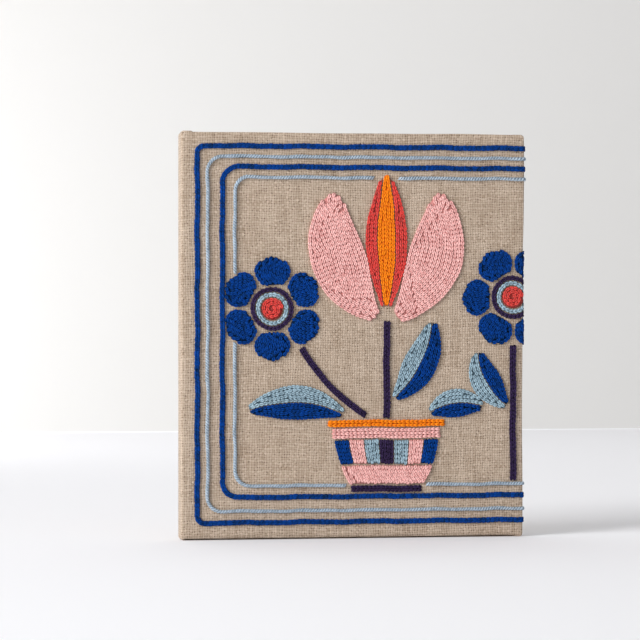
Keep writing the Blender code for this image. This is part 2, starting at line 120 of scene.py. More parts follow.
# Wool, in millimetres: how far apart its rows lie, how long a stitch is, and the bed under the rows
ROW_PITCH = 3.25
STITCH_LENGTH = 3.7
ROPE_STITCH = 4.0
BACK_STITCH = 0.9 * STITCH_LENGTH
ROUTE_STEP = 0.4
ROW_EASE = 4.5
ROW_START = 0.3
ROW_STOP = 0.7
BED_HEIGHT = 0.85
BED_INSET = 0.55
BED_STATION = 6.0


class Slot(Enum):
    """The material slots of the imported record."""

    LINEN = "linen"
    PINE = "pine"
    ROYAL_BLUE = "royal_blue"
    LIGHT_BLUE = "light_blue"
    AUBERGINE = "aubergine"
    PINK = "pink"
    RED = "red"
    ORANGE = "orange"


class Grain(Enum):
    """The axis that the grain of a bar runs along."""

    ACROSS = 0
    UPRIGHT = 2


def linear(srgb: str) -> Colour:
    """Turns a colour as seen on a screen into the linear one that a shader takes.

    Args:
        srgb: six hex digits.

    Returns:
        Red, green, blue and an alpha of one.
    """
    values = [int(srgb[i:i + 2], 16) / 255 for i in (0, 2, 4)]
    red, green, blue = (v / 12.92 if v <= 0.04045 else ((v + 0.055) / 1.055) ** 2.4 for v in values)
    return red, green, blue, 1.0


def fill(node: bpy.types.Node, sockets: Sockets) -> None:
    """Fills a node's inputs.

    Args:
        node: the node.
        sockets: for an input's name or index, a value or the output that is linked to it.
    """
    for key, value in sockets.items():
        if isinstance(value, bpy.types.NodeSocket):
            node.id_data.links.new(value, node.inputs[key])
        else:
            node.inputs[key].default_value = value


def add_node(tree: bpy.types.NodeTree, kind: str, sockets: Sockets | None = None, out: str = "",
             **settings: object) -> Socket:
    """Adds one node, sets its properties and fills its inputs.

    Args:
        tree: the node tree that it goes in.
        kind: its type, as Blender names it after the word ShaderNode.
        sockets: what goes into its inputs.
        out: the output that is wanted, or nothing for the first one in use.
        settings: its properties.

    Returns:
        That output.
    """
    node = tree.nodes.new(f"ShaderNode{kind}")
    for name, value in settings.items():
        setattr(node, name, value)
    fill(node, sockets or {})
    return node.outputs[out] if out else next(socket for socket in node.outputs if socket.enabled)


def humps(add: AddNode, across: Socket) -> Socket:
    """Draws one round back for each unit across, as threads and plies have."""
    circle = add("Math", {0: across, 1: math.pi}, operation="MULTIPLY")
    return add("Math", {0: add("Math", {0: circle}, operation="SINE")}, operation="ABSOLUTE")


class Finish:
    """A real material. Each kind names it and says what its shader takes."""

    def describe(self, add: AddNode) -> tuple[str, Sockets]:
        """Gives the material's name and what goes into its shader."""
        raise NotImplementedError

    def material(self) -> bpy.types.Material:
        """Makes the material.

        Returns:
            The material, whose other values are the shader's own.
        """
        made = bpy.data.materials.new("finish")
        made.use_nodes = True
        made.name, sockets = self.describe(partial(add_node, made.node_tree))
        fill(made.node_tree.nodes["Principled BSDF"], sockets)
        return made


@dataclass(frozen=True)
class Wool(Finish):
    """Soft-spun tapestry wool: dyed in the skein, two plies, matt, with a halo of fine fibres.

    It gives the eye a soft rope: no gloss, a paler rim where fibres stand off it, from the sheen and from
    pale flecks painted into its colour as painted sheen, grooves between its plies and low parts of its
    stitches painted darker as painted shade, and a dye that took a little unevenly along the skein.
    """

    slot: Slot
    colour: str
    shaded_groove: str
    halo: str
    use: str = "stitches"
    ply_pitch_mm: float = 2.6
    plies: float = 2.0
    uneven_mm: float = 4.0
    fibre_mm: float = 0.35
    sheen: float = 0.12

    def describe(self, add: AddNode) -> tuple[str, Sockets]:
        """Gives the name and the shader's sockets, from UVs along the strand and each stitch's tone, which
        holds its painted shade.

        Args:
            add: adds a node.

        Returns:
            The material's name, and the sockets by name.
        """
        along = add("SeparateXYZ", {0: add("UVMap", uv_map="strand")}, "X")
        turns = add("Math", {0: along, 1: 1.0 / self.ply_pitch_mm}, operation="MULTIPLY")
        phase = {0: along.node.outputs["Y"], 1: self.plies, 2: turns}
        ply = humps(add, add("Math", phase, operation="MULTIPLY_ADD"))
        place = add("TexCoord", out="Object")
        fibres, dye = (
            add("TexNoise", {"Vector": place, "Scale": 1.0 / (size * MM), "Detail": 2.0})
            for size in (self.fibre_mm, self.uneven_mm)
        )
        tone = add("Attribute", out="Fac", attribute_name="tone")
        dyed = {"Value": dye, "From Min": 0.3, "From Max": 0.7, "To Min": -0.32, "To Max": 0.32}
        # Painted shade: the grooves between the plies, and through the tone attribute the low parts of each
        # stitch and the bed, take more of the darker groove colour
        toned = add("Math", {0: ply, 1: 0.42, 2: 0.56}, operation="MULTIPLY_ADD")
        toned = add("Math", {0: toned, 1: tone}, operation="ADD")
        share = add("Math", {0: toned, 1: add("MapRange", dyed)}, operation="ADD", use_clamp=True)
        # Painted sheen: pale flecks of the halo colour, spread by the fibre noise, stand for light caught by
        # the fuzz of fibres
        sheen_flecks = add("MapRange", {"Value": fibres, "From Min": 0.45, "From Max": 0.75, "To Max": 0.52})
        base = {"Factor": share, "A": linear(self.shaded_groove), "B": linear(self.colour)}
        sheen_flecked = {"Factor": sheen_flecks, "A": add("Mix", base, data_type="RGBA"), "B": linear(self.halo)}
        relief = add("Math", {0: fibres, 1: 0.5, 2: ply}, operation="MULTIPLY_ADD")
        return f"tapestry_wool_{self.slot.value}_{self.use}", {
            "Base Color": add("Mix", sheen_flecked, data_type="RGBA"),
            "Normal": add("Bump", {"Strength": 0.7, "Distance": 0.22 * MM, "Height": relief}),
            "Roughness": 0.95, "Specular IOR Level": 0.08, "Sheen Weight": self.sheen,
            "Sheen Roughness": 0.55, "Sheen Tint": linear(self.halo),
        }


@dataclass(frozen=True)
class LinenCloth(Finish):
    """Unbleached linen in plain weave: flax yarns of uneven thickness, stretched and unprimed.

    It gives the eye a dry oatmeal ground with a grid of pale and dark threads, slubs a few
    centimetres long and gaps, open here and shut there, where four threads meet. The open gaps are
    painted dark, and the valleys between threads darker than their rounded backs, as painted shade. The
    real threads lie about 1 mm apart; they are drawn at 2.2 mm, the finest that shows at this size.
    """

    pale: str = "D3C0AD"
    middle: str = "877059"
    dark: str = "503C2C"
    thread_mm: float = 2.2
    warp_slub_mm: float = 34.0
    weft_slub_mm: float = 18.0
    patch_mm: float = 60.0
    wander_mm: float = 8.0

    def paleness(self, add: AddNode, across: Socket, along: Socket, slub_mm: float, first: float) -> Socket:
        """Gives each thread of one direction its own paleness.

        Args:
            add: adds a node.
            across: the place across the threads, in threads.
            along: the place along them, in threads.
            slub_mm: how far a thick or thin place runs along a thread.
            first: a number that tells this direction's noise from the other's.

        Returns:
            The paleness.
        """
        thread = add("Math", {0: across}, operation="FLOOR")
        thread = add("Math", {0: thread, 1: 5.37}, operation="MULTIPLY")
        slow = add("Math", {0: along, 1: self.thread_mm / slub_mm}, operation="MULTIPLY")
        where = add("CombineXYZ", {0: thread, 1: slow, 2: first})
        return add("TexNoise", {"Vector": where, "Scale": 1.0, "Detail": 2.0})

    def describe(self, add: AddNode) -> tuple[str, Sockets]:
        """Gives the name and the shader's sockets, from UVs that are the cloth's grid in millimetres.

        Args:
            add: adds a node.

        Returns:
            The material's name, and the sockets by name.
        """
        cloth = add("UVMap", uv_map="cloth")
        wander = add("TexNoise", {"Vector": cloth, "Scale": 1.0 / self.wander_mm, "Detail": 3.0}, "Color")
        strayed = add("VectorMath", {0: wander, 1: (3.0, 3.0, 0.0), 2: cloth}, operation="MULTIPLY_ADD")
        scaled = add("VectorMath", {0: strayed, "Scale": 1.0 / self.thread_mm}, operation="SCALE")
        x = add("SeparateXYZ", {0: scaled}, "X")
        y = x.node.outputs["Y"]
        checks = add("TexChecker", {"Vector": scaled, "Scale": 1.0}, "Fac")
        warp = self.paleness(add, x, y, self.warp_slub_mm, 3.0)
        weft = self.paleness(add, y, x, self.weft_slub_mm, 47.0)
        rounds = {0: humps(add, x), 1: humps(add, y)}
        height = add("Math", rounds, operation="MULTIPLY")
        fibre = add("TexNoise", {"Vector": cloth, "Scale": 1.6, "Detail": 3.0})
        wide = add("TexNoise", {"Vector": cloth, "Scale": 1.0 / self.patch_mm, "Detail": 2.0})
        shade = add("Mix", {"Factor": checks, "A": warp, "B": weft}, data_type="FLOAT")
        # Painted shade: the rounded back of each thread is paler, and the valleys between threads darker
        for source, weight in ((height, 0.26), (fibre, 0.5), (wide, 0.04)):
            shade = add("Math", {0: source, 1: weight, 2: shade}, operation="MULTIPLY_ADD")
        share = add("MapRange", {"Value": shade, "From Min": 0.45, "From Max": 1.16})
        thready = {"Factor": share, "A": linear(self.middle), "B": linear(self.pale)}
        # Painted shade: where the gap at a crossing is open, it takes the dark colour of the shade inside it
        nearest = add("VectorMath", {0: scaled, 1: (0.5, 0.5, 0.0)}, operation="ADD")
        crossing = add("VectorMath", {0: nearest}, operation="FLOOR")
        fleck = add("TexWhiteNoise", {"Vector": crossing}, noise_dimensions="2D")
        open_weave = {0: fleck, 1: -0.6, 2: add("Math", rounds, operation="MAXIMUM")}
        open_weave = add("Math", open_weave, operation="MULTIPLY_ADD")
        gap_shade = add("MapRange", {"Value": open_weave, "From Min": -0.42, "From Max": 0.26})
        coloured = {"Factor": gap_shade, "A": linear(self.dark), "B": add("Mix", thready, data_type="RGBA")}
        relief = add("Math", {0: fibre, 1: 0.4, 2: height}, operation="MULTIPLY_ADD")
        return "unbleached_plain_weave_linen", {
            "Base Color": add("Mix", coloured, data_type="RGBA"),
            "Normal": add("Bump", {"Strength": 0.8, "Distance": 0.3 * MM, "Height": relief}),
            "Roughness": 0.94, "Specular IOR Level": 0.2, "Sheen Weight": 0.12, "Sheen Roughness": 0.5,
        }


@dataclass(frozen=True)
class PlanedPine(Finish):
    """Planed, untreated pine: pale sapwood with darker summer rings, cut along the bar.

    It gives the eye a warm cream with soft streaks along its length, and a dull satin surface.
    """

    grain: Grain
    spring: str = "E2C79B"
    summer: str = "C39A62"
    ring_mm: float = 4.2
    streak_mm: float = 170.0
    fibre_mm: float = 0.5
    fibre_length_mm: float = 18.0

    def combed(self, add: AddNode, across_mm: float, along_mm: float) -> Socket:
        """Gives Object coordinates in units of one size across the grain and another along it.

        Args:
            add: adds a node.
            across_mm: the unit across the grain.
            along_mm: the unit along it.

        Returns:
            The coordinates.
        """
        scale = [1.0 / (across_mm * MM)] * 3
        scale[self.grain.value] = 1.0 / (along_mm * MM)
        return add("Mapping", {"Vector": add("TexCoord", out="Object"), "Scale": scale})

    def describe(self, add: AddNode) -> tuple[str, Sockets]:
        """Gives the name and the shader's sockets.

        Args:
            add: adds a node.

        Returns:
            The material's name, and the sockets by name.
        """
        rings = self.combed(add, self.ring_mm, self.streak_mm)
        fibres = self.combed(add, self.fibre_mm, self.fibre_length_mm)
        ring = add("TexNoise", {"Vector": rings, "Scale": 1.0, "Detail": 1.0, "Distortion": 0.6})
        fibre = add("TexNoise", {"Vector": fibres, "Scale": 1.0, "Detail": 2.0})
        summer = add("MapRange", {"Value": ring, "From Min": 0.44, "From Max": 0.66, "To Max": 0.8})
        share = add("Math", {0: fibre, 1: 0.25, 2: summer}, operation="MULTIPLY_ADD", use_clamp=True)
        colours = {"Factor": share, "A": linear(self.spring), "B": linear(self.summer)}
        rough = {"Value": fibre, "From Min": 0.3, "From Max": 0.7, "To Min": 0.55, "To Max": 0.72}
        return f"planed_pine_{self.grain.name.lower()}", {
            "Base Color": add("Mix", colours, data_type="RGBA"),
            "Normal": add("Bump", {"Strength": 0.35, "Distance": 0.15 * MM, "Height": fibre}),
            "Roughness": add("MapRange", rough), "Specular IOR Level": 0.35,
        }


@dataclass(frozen=True)
class StapleWire(Finish):
    """Galvanised steel staple wire, flattened and a little dulled.

    It gives the eye small grey glints, softer along the wire than a polished one.
    """

    zinc: str = "A6A7A5"
    dull: str = "6E6F6D"
    spangle_mm: float = 1.5

    def describe(self, add: AddNode) -> tuple[str, Sockets]:
        """Gives the name and the shader's sockets.

        Args:
            add: adds a node.

        Returns:
            The material's name, and the sockets by name.
        """
        place = add("TexCoord", out="Object")
        spangle = add("TexNoise", {"Vector": place, "Scale": 1.0 / (self.spangle_mm * MM)})
        colours = {"Factor": spangle, "A": linear(self.dull), "B": linear(self.zinc)}
        return "galvanised_staple_wire", {
            "Base Color": add("Mix", colours, data_type="RGBA"), "Metallic": 1.0, "Roughness": 0.38,
        }


@dataclass(frozen=True)
class PaleBoard(Finish):
    """Matt painted board under and behind the piece: plain, with a trace of roller texture."""

    tint: str
    colour: str
    roller_mm: float = 3.0

    def describe(self, add: AddNode) -> tuple[str, Sockets]:
        """Gives the name and the shader's sockets.

        Args:
            add: adds a node.

        Returns:
            The material's name, and the sockets by name.
        """
        place = add("TexCoord", out="Object")
        grain = add("TexNoise", {"Vector": place, "Scale": 1.0 / (self.roller_mm * MM)})
        return f"matt_{self.tint}_board", {
            "Normal": add("Bump", {"Strength": 0.05, "Distance": 0.1 * MM, "Height": grain}),
            "Base Color": linear(self.colour), "Roughness": 0.9, "Specular IOR Level": 0.1,
        }


WOOLS = {
    wool.slot: wool for wool in (
        Wool(Slot.ROYAL_BLUE, "00388E", "000514", "286CBA"),
        Wool(Slot.LIGHT_BLUE, "9FBCCB", "365667", "D8E6EE"),
        Wool(Slot.AUBERGINE, "251739", "020006", "7C689C", sheen=0.06),
        Wool(Slot.PINK, "FCC2BD", "CB7E79", "FFE0DC"),
        Wool(Slot.RED, "E6342E", "A0140E", "FFACA4"),
        Wool(Slot.ORANGE, "FF8C04", "E26400", "FFB054"),
    )
}
CORD_WOOL = Wool(Slot.LIGHT_BLUE, "B2C4D4", "5C7082", "E0E8F0", use="cord")


def only(kind: type, geometry: Sequence) -> list:
    """Picks the items of one kind out of what an operator has made."""
    return [item for item in geometry if isinstance(item, kind)]


def cut_across(mesh: BMesh, axis: int, place: float, **options: object) -> list:
    """Cuts a bmesh with a plane.

    Args:
        mesh: the bmesh.
        axis: the axis that the plane stands across.
        place: where it is.
        options: what else the operator is told.

    Returns:
        The vertices and edges of the cut.
    """
    normal = Vector((0.0, 0.0, 0.0))
    normal[axis] = 1.0
    geometry = mesh.verts[:] + mesh.edges[:] + mesh.faces[:]
    cut = bmesh.ops.bisect_plane(mesh, geom=geometry, plane_co=normal * place, plane_no=normal, **options)
    return cut["geom_cut"]


def round_off(mesh: BMesh, edges: Sequence, offset: float, segments: int = 3) -> None:
    """Rounds edges of a bmesh."""
    bmesh.ops.bevel(
        mesh, geom=edges, offset=offset, offset_type="OFFSET", segments=segments, profile=0.5,
        affect="EDGES", material=-1,
    )


def close_holes(mesh: BMesh) -> None:
    """Closes the open ends of a bmesh."""
    bmesh.ops.edgeloop_fill(mesh, edges=[edge for edge in mesh.edges if edge.is_boundary])


def add_object(name: str, data: bpy.types.ID) -> bpy.types.Object:
    """Puts an object into the scene.

    Args:
        name: its name.
        data: its mesh, light or camera.

    Returns:
        The object, at the origin.
    """
    made = bpy.data.objects.new(name, data)
    bpy.context.scene.collection.objects.link(made)
    return made


def add_piece(name: str, mesh: BMesh, *finishes: Finish) -> bpy.types.Object:
    """Turns a bmesh into an object, and frees it.

    Args:
        name: the object's name.
        mesh: the bmesh, in metres.
        finishes: what its materials are made of.

    Returns:
        The object.
    """
    data = bpy.data.meshes.new(name)
    mesh.to_mesh(data)
    mesh.free()
    for finish in finishes:
        data.materials.append(finish.material())
    LOG.info("%s: %d faces", name, len(data.polygons))
    return add_object(name, data)


def smooth_share(value: Array, start: float, end: float) -> Array:
    """Rises softly from 0 to 1 between two values."""
    share = np.clip((value - start) / (end - start), 0.0, 1.0)
    return share * share * (3.0 - 2.0 * share)


def wobbled(u: Array, v: Array) -> tuple[Array, Array]:
    """Moves points of the flat pattern a little, as a hand-drawn line wanders.

    Args:
        u: places along the front, in millimetres.
        v: places up it.

    Returns:
        The moved places.
    """
    wave = 2 * math.pi / WOBBLE_LENGTH
    return (
        u + WOBBLE * np.sin(v * wave + 0.7) + 0.4 * WOBBLE * np.sin(v * wave * 2.3 + u * 0.02),
        v + WOBBLE * np.sin(u * wave + 2.1) + 0.4 * WOBBLE * np.sin(u * wave * 2.3 + v * 0.02),
    )


def on_linen(u: Array, v: Array, h: Array) -> Array:
    """Finds the points of space over points of the flat pattern.

    Args:
        u: places along the front and round the right-hand edge, in millimetres.
        v: places up it.
        h: heights above the linen.

    Returns:
        The points in millimetres, one row each.
    """
    angle = np.clip((u - BEND_START) / EDGE_RADIUS, 0.0, math.pi / 2)
    past = np.maximum(u - BEND_START - BEND_LENGTH, 0.0)
    reach = EDGE_RADIUS + h * (1.0 - EDGE_SQUASH * np.sin(angle))
    x = np.minimum(u, BEND_START) + reach * np.sin(angle)
    y = EDGE_RADIUS - reach * np.cos(angle) + past
    return eased(np.stack([x - WIDTH / 2, y - DEPTH / 2, v], axis=-1))


def eased(points: Array) -> Array:
    """Lets the cloth, and the wool with it, give a little: it is wrapped by hand.

    Args:
        points: points in millimetres.

    Returns:
        The moved points.
    """
    # The right side fills out near the top, the top side over a pad near the right, the front
    # and both of these wave a little, and the underside is pulled back between the corners
    x, y, z = points[..., 0], points[..., 1], points[..., 2]
    right = smooth_share(x, WIDTH / 2 - 14.0, WIDTH / 2)
    top = smooth_share(z, HEIGHT - 14.0, HEIGHT)
    front = smooth_share(-y, DEPTH / 2 - 4.0, DEPTH / 2)
    fuller = smooth_share(z, 215.0, 290.0)
    pad = np.exp(-((x - 92.0) / 30.0) ** 2)
    under = np.clip((EDGE_RADIUS - z) / 0.75, 0.0, 1.0) * np.clip((DEPTH / 2 - 4.0 - y) / 17.0, 0.0, 1.0)
    between = smooth_share(WIDTH / 2 - 2.0 - np.abs(x + 2.0), 0.0, 5.0)
    moved = points.copy()
    moved[..., 0] += right * (1.4 * fuller + 0.25 * (1.0 + np.sin(z / 23.0)))
    moved[..., 1] -= front * (0.12 + 0.12 * np.sin(x / 31.0 + 1.0) * np.sin(z / 27.0))
    moved[..., 1] += BOTTOM_TUCK * under * between
    moved[..., 2] += top * (0.7 * pad + 0.15 * (1.0 + np.sin(x / 17.0)))
    return moved


@dataclass
class Route:
    """The way of one row on the flat pattern, in millimetres, with the room that it has across."""

    u: Array
    v: Array
    room: Array | float
    distance: Array = field(init=False)
    heading: Array = field(init=False)

    def __post_init__(self) -> None:
        """Works out the distance along the way and its heading, after the hand's wander."""
        self.u, self.v = wobbled(self.u, self.v)
        self.room = np.broadcast_to(self.room, self.u.shape)
        steps = np.hypot(np.diff(self.u), np.diff(self.v))
        self.distance = np.concatenate([[0.0], np.cumsum(steps)])
        self.heading = np.unwrap(np.arctan2(np.gradient(self.v), np.gradient(self.u)))

    @property
    def length(self) -> float:
        """The length of the way."""
        return float(self.distance[-1])

    def at(self, distance: Array, aside: Array, height: Array) -> Array:
        """Finds points beside and above the way.

        Args:
            distance: distances along it. Those past its ends go straight on.
            aside: distances to its left.
            height: heights above the linen.

        Returns:
            Points in space, in millimetres.
        """
        past = distance - np.clip(distance, 0.0, self.length)
        heading = np.interp(distance, self.distance, self.heading)
        u = np.interp(distance, self.distance, self.u) + past * np.cos(heading) - aside * np.sin(heading)
        v = np.interp(distance, self.distance, self.v) + past * np.sin(heading) + aside * np.cos(heading)
        return on_linen(u, v, height)


@dataclass
class Template:
    """A small shape that is repeated many times, as arrays. Its length runs along x, and its shade is how
    much each point is darkened, as painted shade.
    """

    points: Array
    corners: Array
    starts: Array
    strand: Array
    shade: Array

    @classmethod
    def from_bmesh(cls, mesh: BMesh, strand: Array | None = None) -> "Template":
        """Reads the arrays from a bmesh, and frees it.

        Args:
            mesh: the shape.
            strand: a UV pair for each corner, or None for the points' own x and y.

        Returns:
            The template.
        """
        mesh.verts.index_update()
        points = np.array([v.co[:] for v in mesh.verts])
        corners = np.array([v.index for f in mesh.faces for v in f.verts])
        sizes = np.array([len(f.verts) for f in mesh.faces])
        mesh.free()
        starts = np.concatenate([[0], np.cumsum(sizes)[:-1]])
        flat = points[corners][:, :2]
        return cls(points, corners, starts, flat if strand is None else strand, np.zeros(len(points)))


def sweep(path: Sequence[Point], radii: Sequence[float], sides: int, ups: Sequence[Vector] | None = None,
          capped: bool = True) -> Template:
    """Draws a ring of yarn along a path, by extruding it from point to point.

    Args:
        path: the points of the middle of the yarn.
        radii: the yarn's radius at each of them.
        sides: the sides of the ring.
        ups: the direction in which each ring's first corner lies, or None for straight up.
        capped: whether the two ends are closed.

    Returns:
        The strand as a template, with UVs that give the distance along it and the share round it.
    """
    points = [Vector(p) for p in path]
    last = len(points) - 1
    mesh = bmesh.new()
    along_of = mesh.verts.layers.float.new("along")
    side_of = mesh.verts.layers.int.new("side")
    ring = bmesh.ops.create_circle(mesh, segments=sides, radius=1.0)["verts"]
    for number, vert in enumerate(ring):
        vert[side_of] = number
    edges = mesh.edges[:]
    before = Matrix.Identity(4)
    along = 0.0
    for i, point in enumerate(points):
        ahead = (points[min(i + 1, last)] - points[max(i - 1, 0)]).normalized()
        up = ups[i] if ups else Vector((0.0, 0.0, 1.0))
        side = up.cross(ahead).normalized()
        turn = Matrix((side, ahead.cross(side), ahead)).transposed().to_4x4()
        now = Matrix.Translation(point) @ turn @ Matrix.Scale(radii[i], 4)
        if i:
            along += (point - points[i - 1]).length
            grown = bmesh.ops.extrude_edge_only(mesh, edges=edges)["geom"]
            ring = only(BMVert, grown)
            edges = [e for e in only(BMEdge, grown) if all(v in ring for v in e.verts)]
        bmesh.ops.transform(mesh, matrix=now @ before.inverted(), verts=ring)
        for vert in ring:
            vert[along_of] = along
        before = now
    if capped:
        close_holes(mesh)
    bmesh.ops.recalc_face_normals(mesh, faces=mesh.faces)
    strand = []
    for face in mesh.faces:
        numbers = [vert[side_of] for vert in face.verts]
        wraps = len(numbers) == 4 and 0 in numbers and sides - 1 in numbers
        for vert, number in zip(face.verts, numbers):
            strand.append((vert[along_of], (number + (sides if wraps and number == 0 else 0)) / sides))
    return Template.from_bmesh(mesh, np.array(strand))


@dataclass
class YarnMesh:
    """Gathers many copies of templates into the mesh of one piece."""

    weld: float = 0.0
    parts: list[tuple[Array, ...]] = field(default_factory=list)
    point_count: int = 0
    corner_count: int = 0

    def add_copies(self, template: Template, places: Array, tones: Array, slides: Array) -> None:
        """Adds copies of a template.

        Args:
            template: what is copied.
            places: for each copy, where each of the template's points lies, in millimetres.
            tones: for each copy, how much paler it is than the rest; the template's painted shade is added to
                it.
            slides: for each copy, how far its strand's pattern is slid, in millimetres.
        """
        count, size, loops = len(places), len(template.points), len(template.corners)
        steps = np.arange(count)[:, None]
        slid = np.stack([slides, np.zeros(count)], axis=-1)[:, None, :]
        self.parts.append((
            places.reshape(-1, 3), (template.corners + self.point_count + steps * size).ravel(),
            (template.starts + self.corner_count + steps * loops).ravel(),
            (template.strand + slid).reshape(-1, 2), (tones[:, None] + template.shade).ravel(),
        ))
        self.point_count += count * size
        self.corner_count += count * loops

    def build(self, name: str) -> bpy.types.Object:
        """Makes the object, smooth, with its strand UVs and its tones, which hold its painted shade as well.

        Args:
            name: the object's name.

        Returns:
            The object. Where a weld is set, points that lie that close, in millimetres, become one.
        """
        points, corners, starts, strand, tone = map(np.concatenate, zip(*self.parts))
        data = bpy.data.meshes.new(name)
        data.vertices.add(len(points))
        data.vertices.foreach_set("co", (points * MM).astype(np.float32).ravel())
        data.loops.add(len(corners))
        data.loops.foreach_set("vertex_index", corners.astype(np.int32))
        data.polygons.add(len(starts))
        data.polygons.foreach_set("loop_start", starts.astype(np.int32))
        data.update(calc_edges=True)
        strands = data.uv_layers.new(name="strand").data
        strands.foreach_set("uv", strand.astype(np.float32).ravel())
        # The tone attribute holds each copy's random tone plus its painted shade
        tones = data.attributes.new("tone", "FLOAT", "POINT").data
        tones.foreach_set("value", tone.astype(np.float32))
        data.polygons.foreach_set("use_smooth", np.ones(len(starts), bool))
        data.validate()
        if self.weld:
            mesh = bmesh.new()
            mesh.from_mesh(data)
            bmesh.ops.remove_doubles(mesh, verts=mesh.verts, dist=self.weld * MM)
            close_holes(mesh)
            mesh.to_mesh(data)
            mesh.free()
        return add_object(name, data)


@dataclass
class ChainStitch:
    """Chain stitch: each link is a loop of wool that comes up inside the one before it."""

    sides: int = 6
    half: tuple[Point, ...] = (
        (-0.55, 0.20, 0.70), (0.10, 0.34, 1.45), (1.10, 0.64, 1.64),
        (2.20, 0.78, 1.56), (3.20, 0.62, 1.25), (3.82, 0.22, 0.80),
    )
    radii: tuple[float, ...] = (0.42, 0.57, 0.69, 0.72, 0.65, 0.54)
    hollow_shade: float = 0.9
    lit: tuple[float, float] = (1.0, 2.2)
    fill: float = 1.05
    tone: float = 0.0
    template: Template = field(init=False)
    width: float = field(init=False)

    def __post_init__(self) -> None:
        """Draws the loop: out along one leg, round its head and back along the other."""
        back = tuple((x, -y, z) for x, y, z in reversed(self.half))
        self.template = sweep(self.half + back, self.radii + self.radii[::-1], self.sides)
        # Painted shade: points of the loop below the lit heights are darkened, as the shade that falls
        # between strands
        height = self.template.points[:, 2]
        self.template.shade = self.hollow_shade * (smooth_share(height, *self.lit) - 1.0)
        self.width = 2.0 * (max(y for _, y, _ in self.half) + max(self.radii))

    def work(self, mesh: YarnMesh, route: Route, stitch: float = STITCH_LENGTH) -> list[float]:
        """Works a row of links along a route.

        Args:
            mesh: the piece that it goes into.
            route: the row's way.
            stitch: the length of a link, which is fitted to the route.

        Returns:
            The places along the route where the needle went down.
        """
        # Each link differs a little from the next in place, width, length, height and slant
        start = ROW_START + HAND.uniform(0.0, 0.45) * stitch
        usable = route.length - start - ROW_STOP
        count = max(1, round(usable / (stitch * HAND.normal(1.0, 0.03))))
        pitch = usable / count
        firsts = start + pitch * np.arange(count) + HAND.normal(0.0, 0.04 * pitch, count)
        room = np.interp(firsts + pitch / 2, route.distance, route.room)
        wide = room / self.width * (self.fill + HAND.normal(0.0, 0.025, count))
        long = pitch / STITCH_LENGTH * (1.0 + HAND.normal(0.0, 0.03, count))
        tall = 1.0 + HAND.normal(0.0, 0.05, count)
        aside = HAND.normal(0.0, 0.05, count)
        skew = HAND.normal(0.0, 0.025, count)
        x, y, z = self.template.points.T[:, None, :]
        places = route.at(
            firsts[:, None] + x * long[:, None],
            aside[:, None] + y * wide[:, None] + x * skew[:, None], z * tall[:, None],
        )
        kept = places[..., 1].max(axis=1) < LINK_BACK
        mesh.add_copies(
            self.template, places[kept], HAND.normal(self.tone, 0.1, count)[kept],
            HAND.uniform(0.0, 9.0, count)[kept],
        )
        return [float(d) for d in firsts[kept]]


@dataclass
class CouchedCord:
    """Two thick plies twisted together and laid on the linen, sewn down from behind."""

    ply_radius: float = 0.86
    apart: float = 0.90
    half_turn: float = 2.5
    middle: float = 1.1
    sides: int = 6
    steps: int = 4
    dip: float = 1.5
    dip_reach: float = 3.0
    sewn_from: float = 4.0
    sewn_every: float = 7.0
    sewn_length: float = 2.2
    template: Template = field(init=False)

    def __post_init__(self) -> None:
        """Draws both plies of half a turn, whose ends meet the next half turn's.

        A ply is swept one step past both ends, and those steps are cut off, so that its last ring
        stands as the next half turn's first. The other ply is the same, half a turn further round.
        """
        angles = [-math.pi * i / self.steps for i in range(-1, self.steps + 2)]
        ups = [Vector((0.0, math.cos(a), math.sin(a))) for a in angles]
        path = [
            (self.half_turn * (i - 1) / self.steps, self.apart * up.y, self.apart * up.z)
            for i, up in enumerate(ups)
        ]
        whole = sweep(path, [self.ply_radius] * len(path), self.sides, ups, capped=False)
        ring = np.arange(len(whole.points)) // self.sides
        inside = (ring > 0) & (ring < len(path) - 1)
        faces = whole.corners.reshape(-1, 4)
        kept = inside[faces].all(axis=1)
        corners = (np.cumsum(inside) - 1)[faces[kept]].ravel()
        strand = whole.strand.reshape(-1, 4, 2)[kept].reshape(-1, 2)
        ply = whole.points[inside]
        points = np.concatenate([ply, ply * (1.0, -1.0, -1.0)])
        # Painted shade: points near the middle of the cord, in the groove between its plies, are darkened
        reach = np.hypot(points[:, 1], points[:, 2])
        self.template = Template(
            points, np.concatenate([corners, corners + len(ply)]), np.arange(2 * kept.sum()) * 4,
            np.concatenate([strand, strand]), 0.7 * (smooth_share(reach, 0.9, 1.6) - 1.0),
        )

    def work(self, mesh: YarnMesh, route: Route, dips: tuple[bool, bool]) -> list[float]:
        """Lays the cord along a route.

        Args:
            mesh: the piece that it goes into.
            route: the cord's way.
            dips: whether its start and its end go down into the linen.

        Returns:
            The places along the route where it is sewn down.
        """
        count = round(route.length / self.half_turn)
        pitch = route.length / count
        shape = self.template.points
        x = pitch * (np.arange(count)[:, None] + shape[None, :, 0] / self.half_turn)
        # The cord strays and swells by a tenth of a millimetre or so, in waves a few centimetres long
        drift = 0.10 * np.sin(x / 11.0) + 0.08 * np.sin(x / 4.7 + 1.3)
        swell = 1.0 + 0.05 * np.sin(x / 8.3) + 0.04 * np.sin(x / 3.1 + 0.6)
        low = np.zeros_like(x)
        for dips_here, edge in zip(dips, (x, route.length - x)):
            if dips_here:
                low += self.dip * (1.0 - smooth_share(edge, 0.0, self.dip_reach))
        places = route.at(x, shape[None, :, 1] * swell + drift, self.middle + shape[None, :, 2] * swell - low)
        mesh.add_copies(
            self.template, places, HAND.normal(0.0, 0.03, count), pitch * np.arange(count) * 1.1,
        )
        return list(np.arange(self.sewn_from, route.length, self.sewn_every))


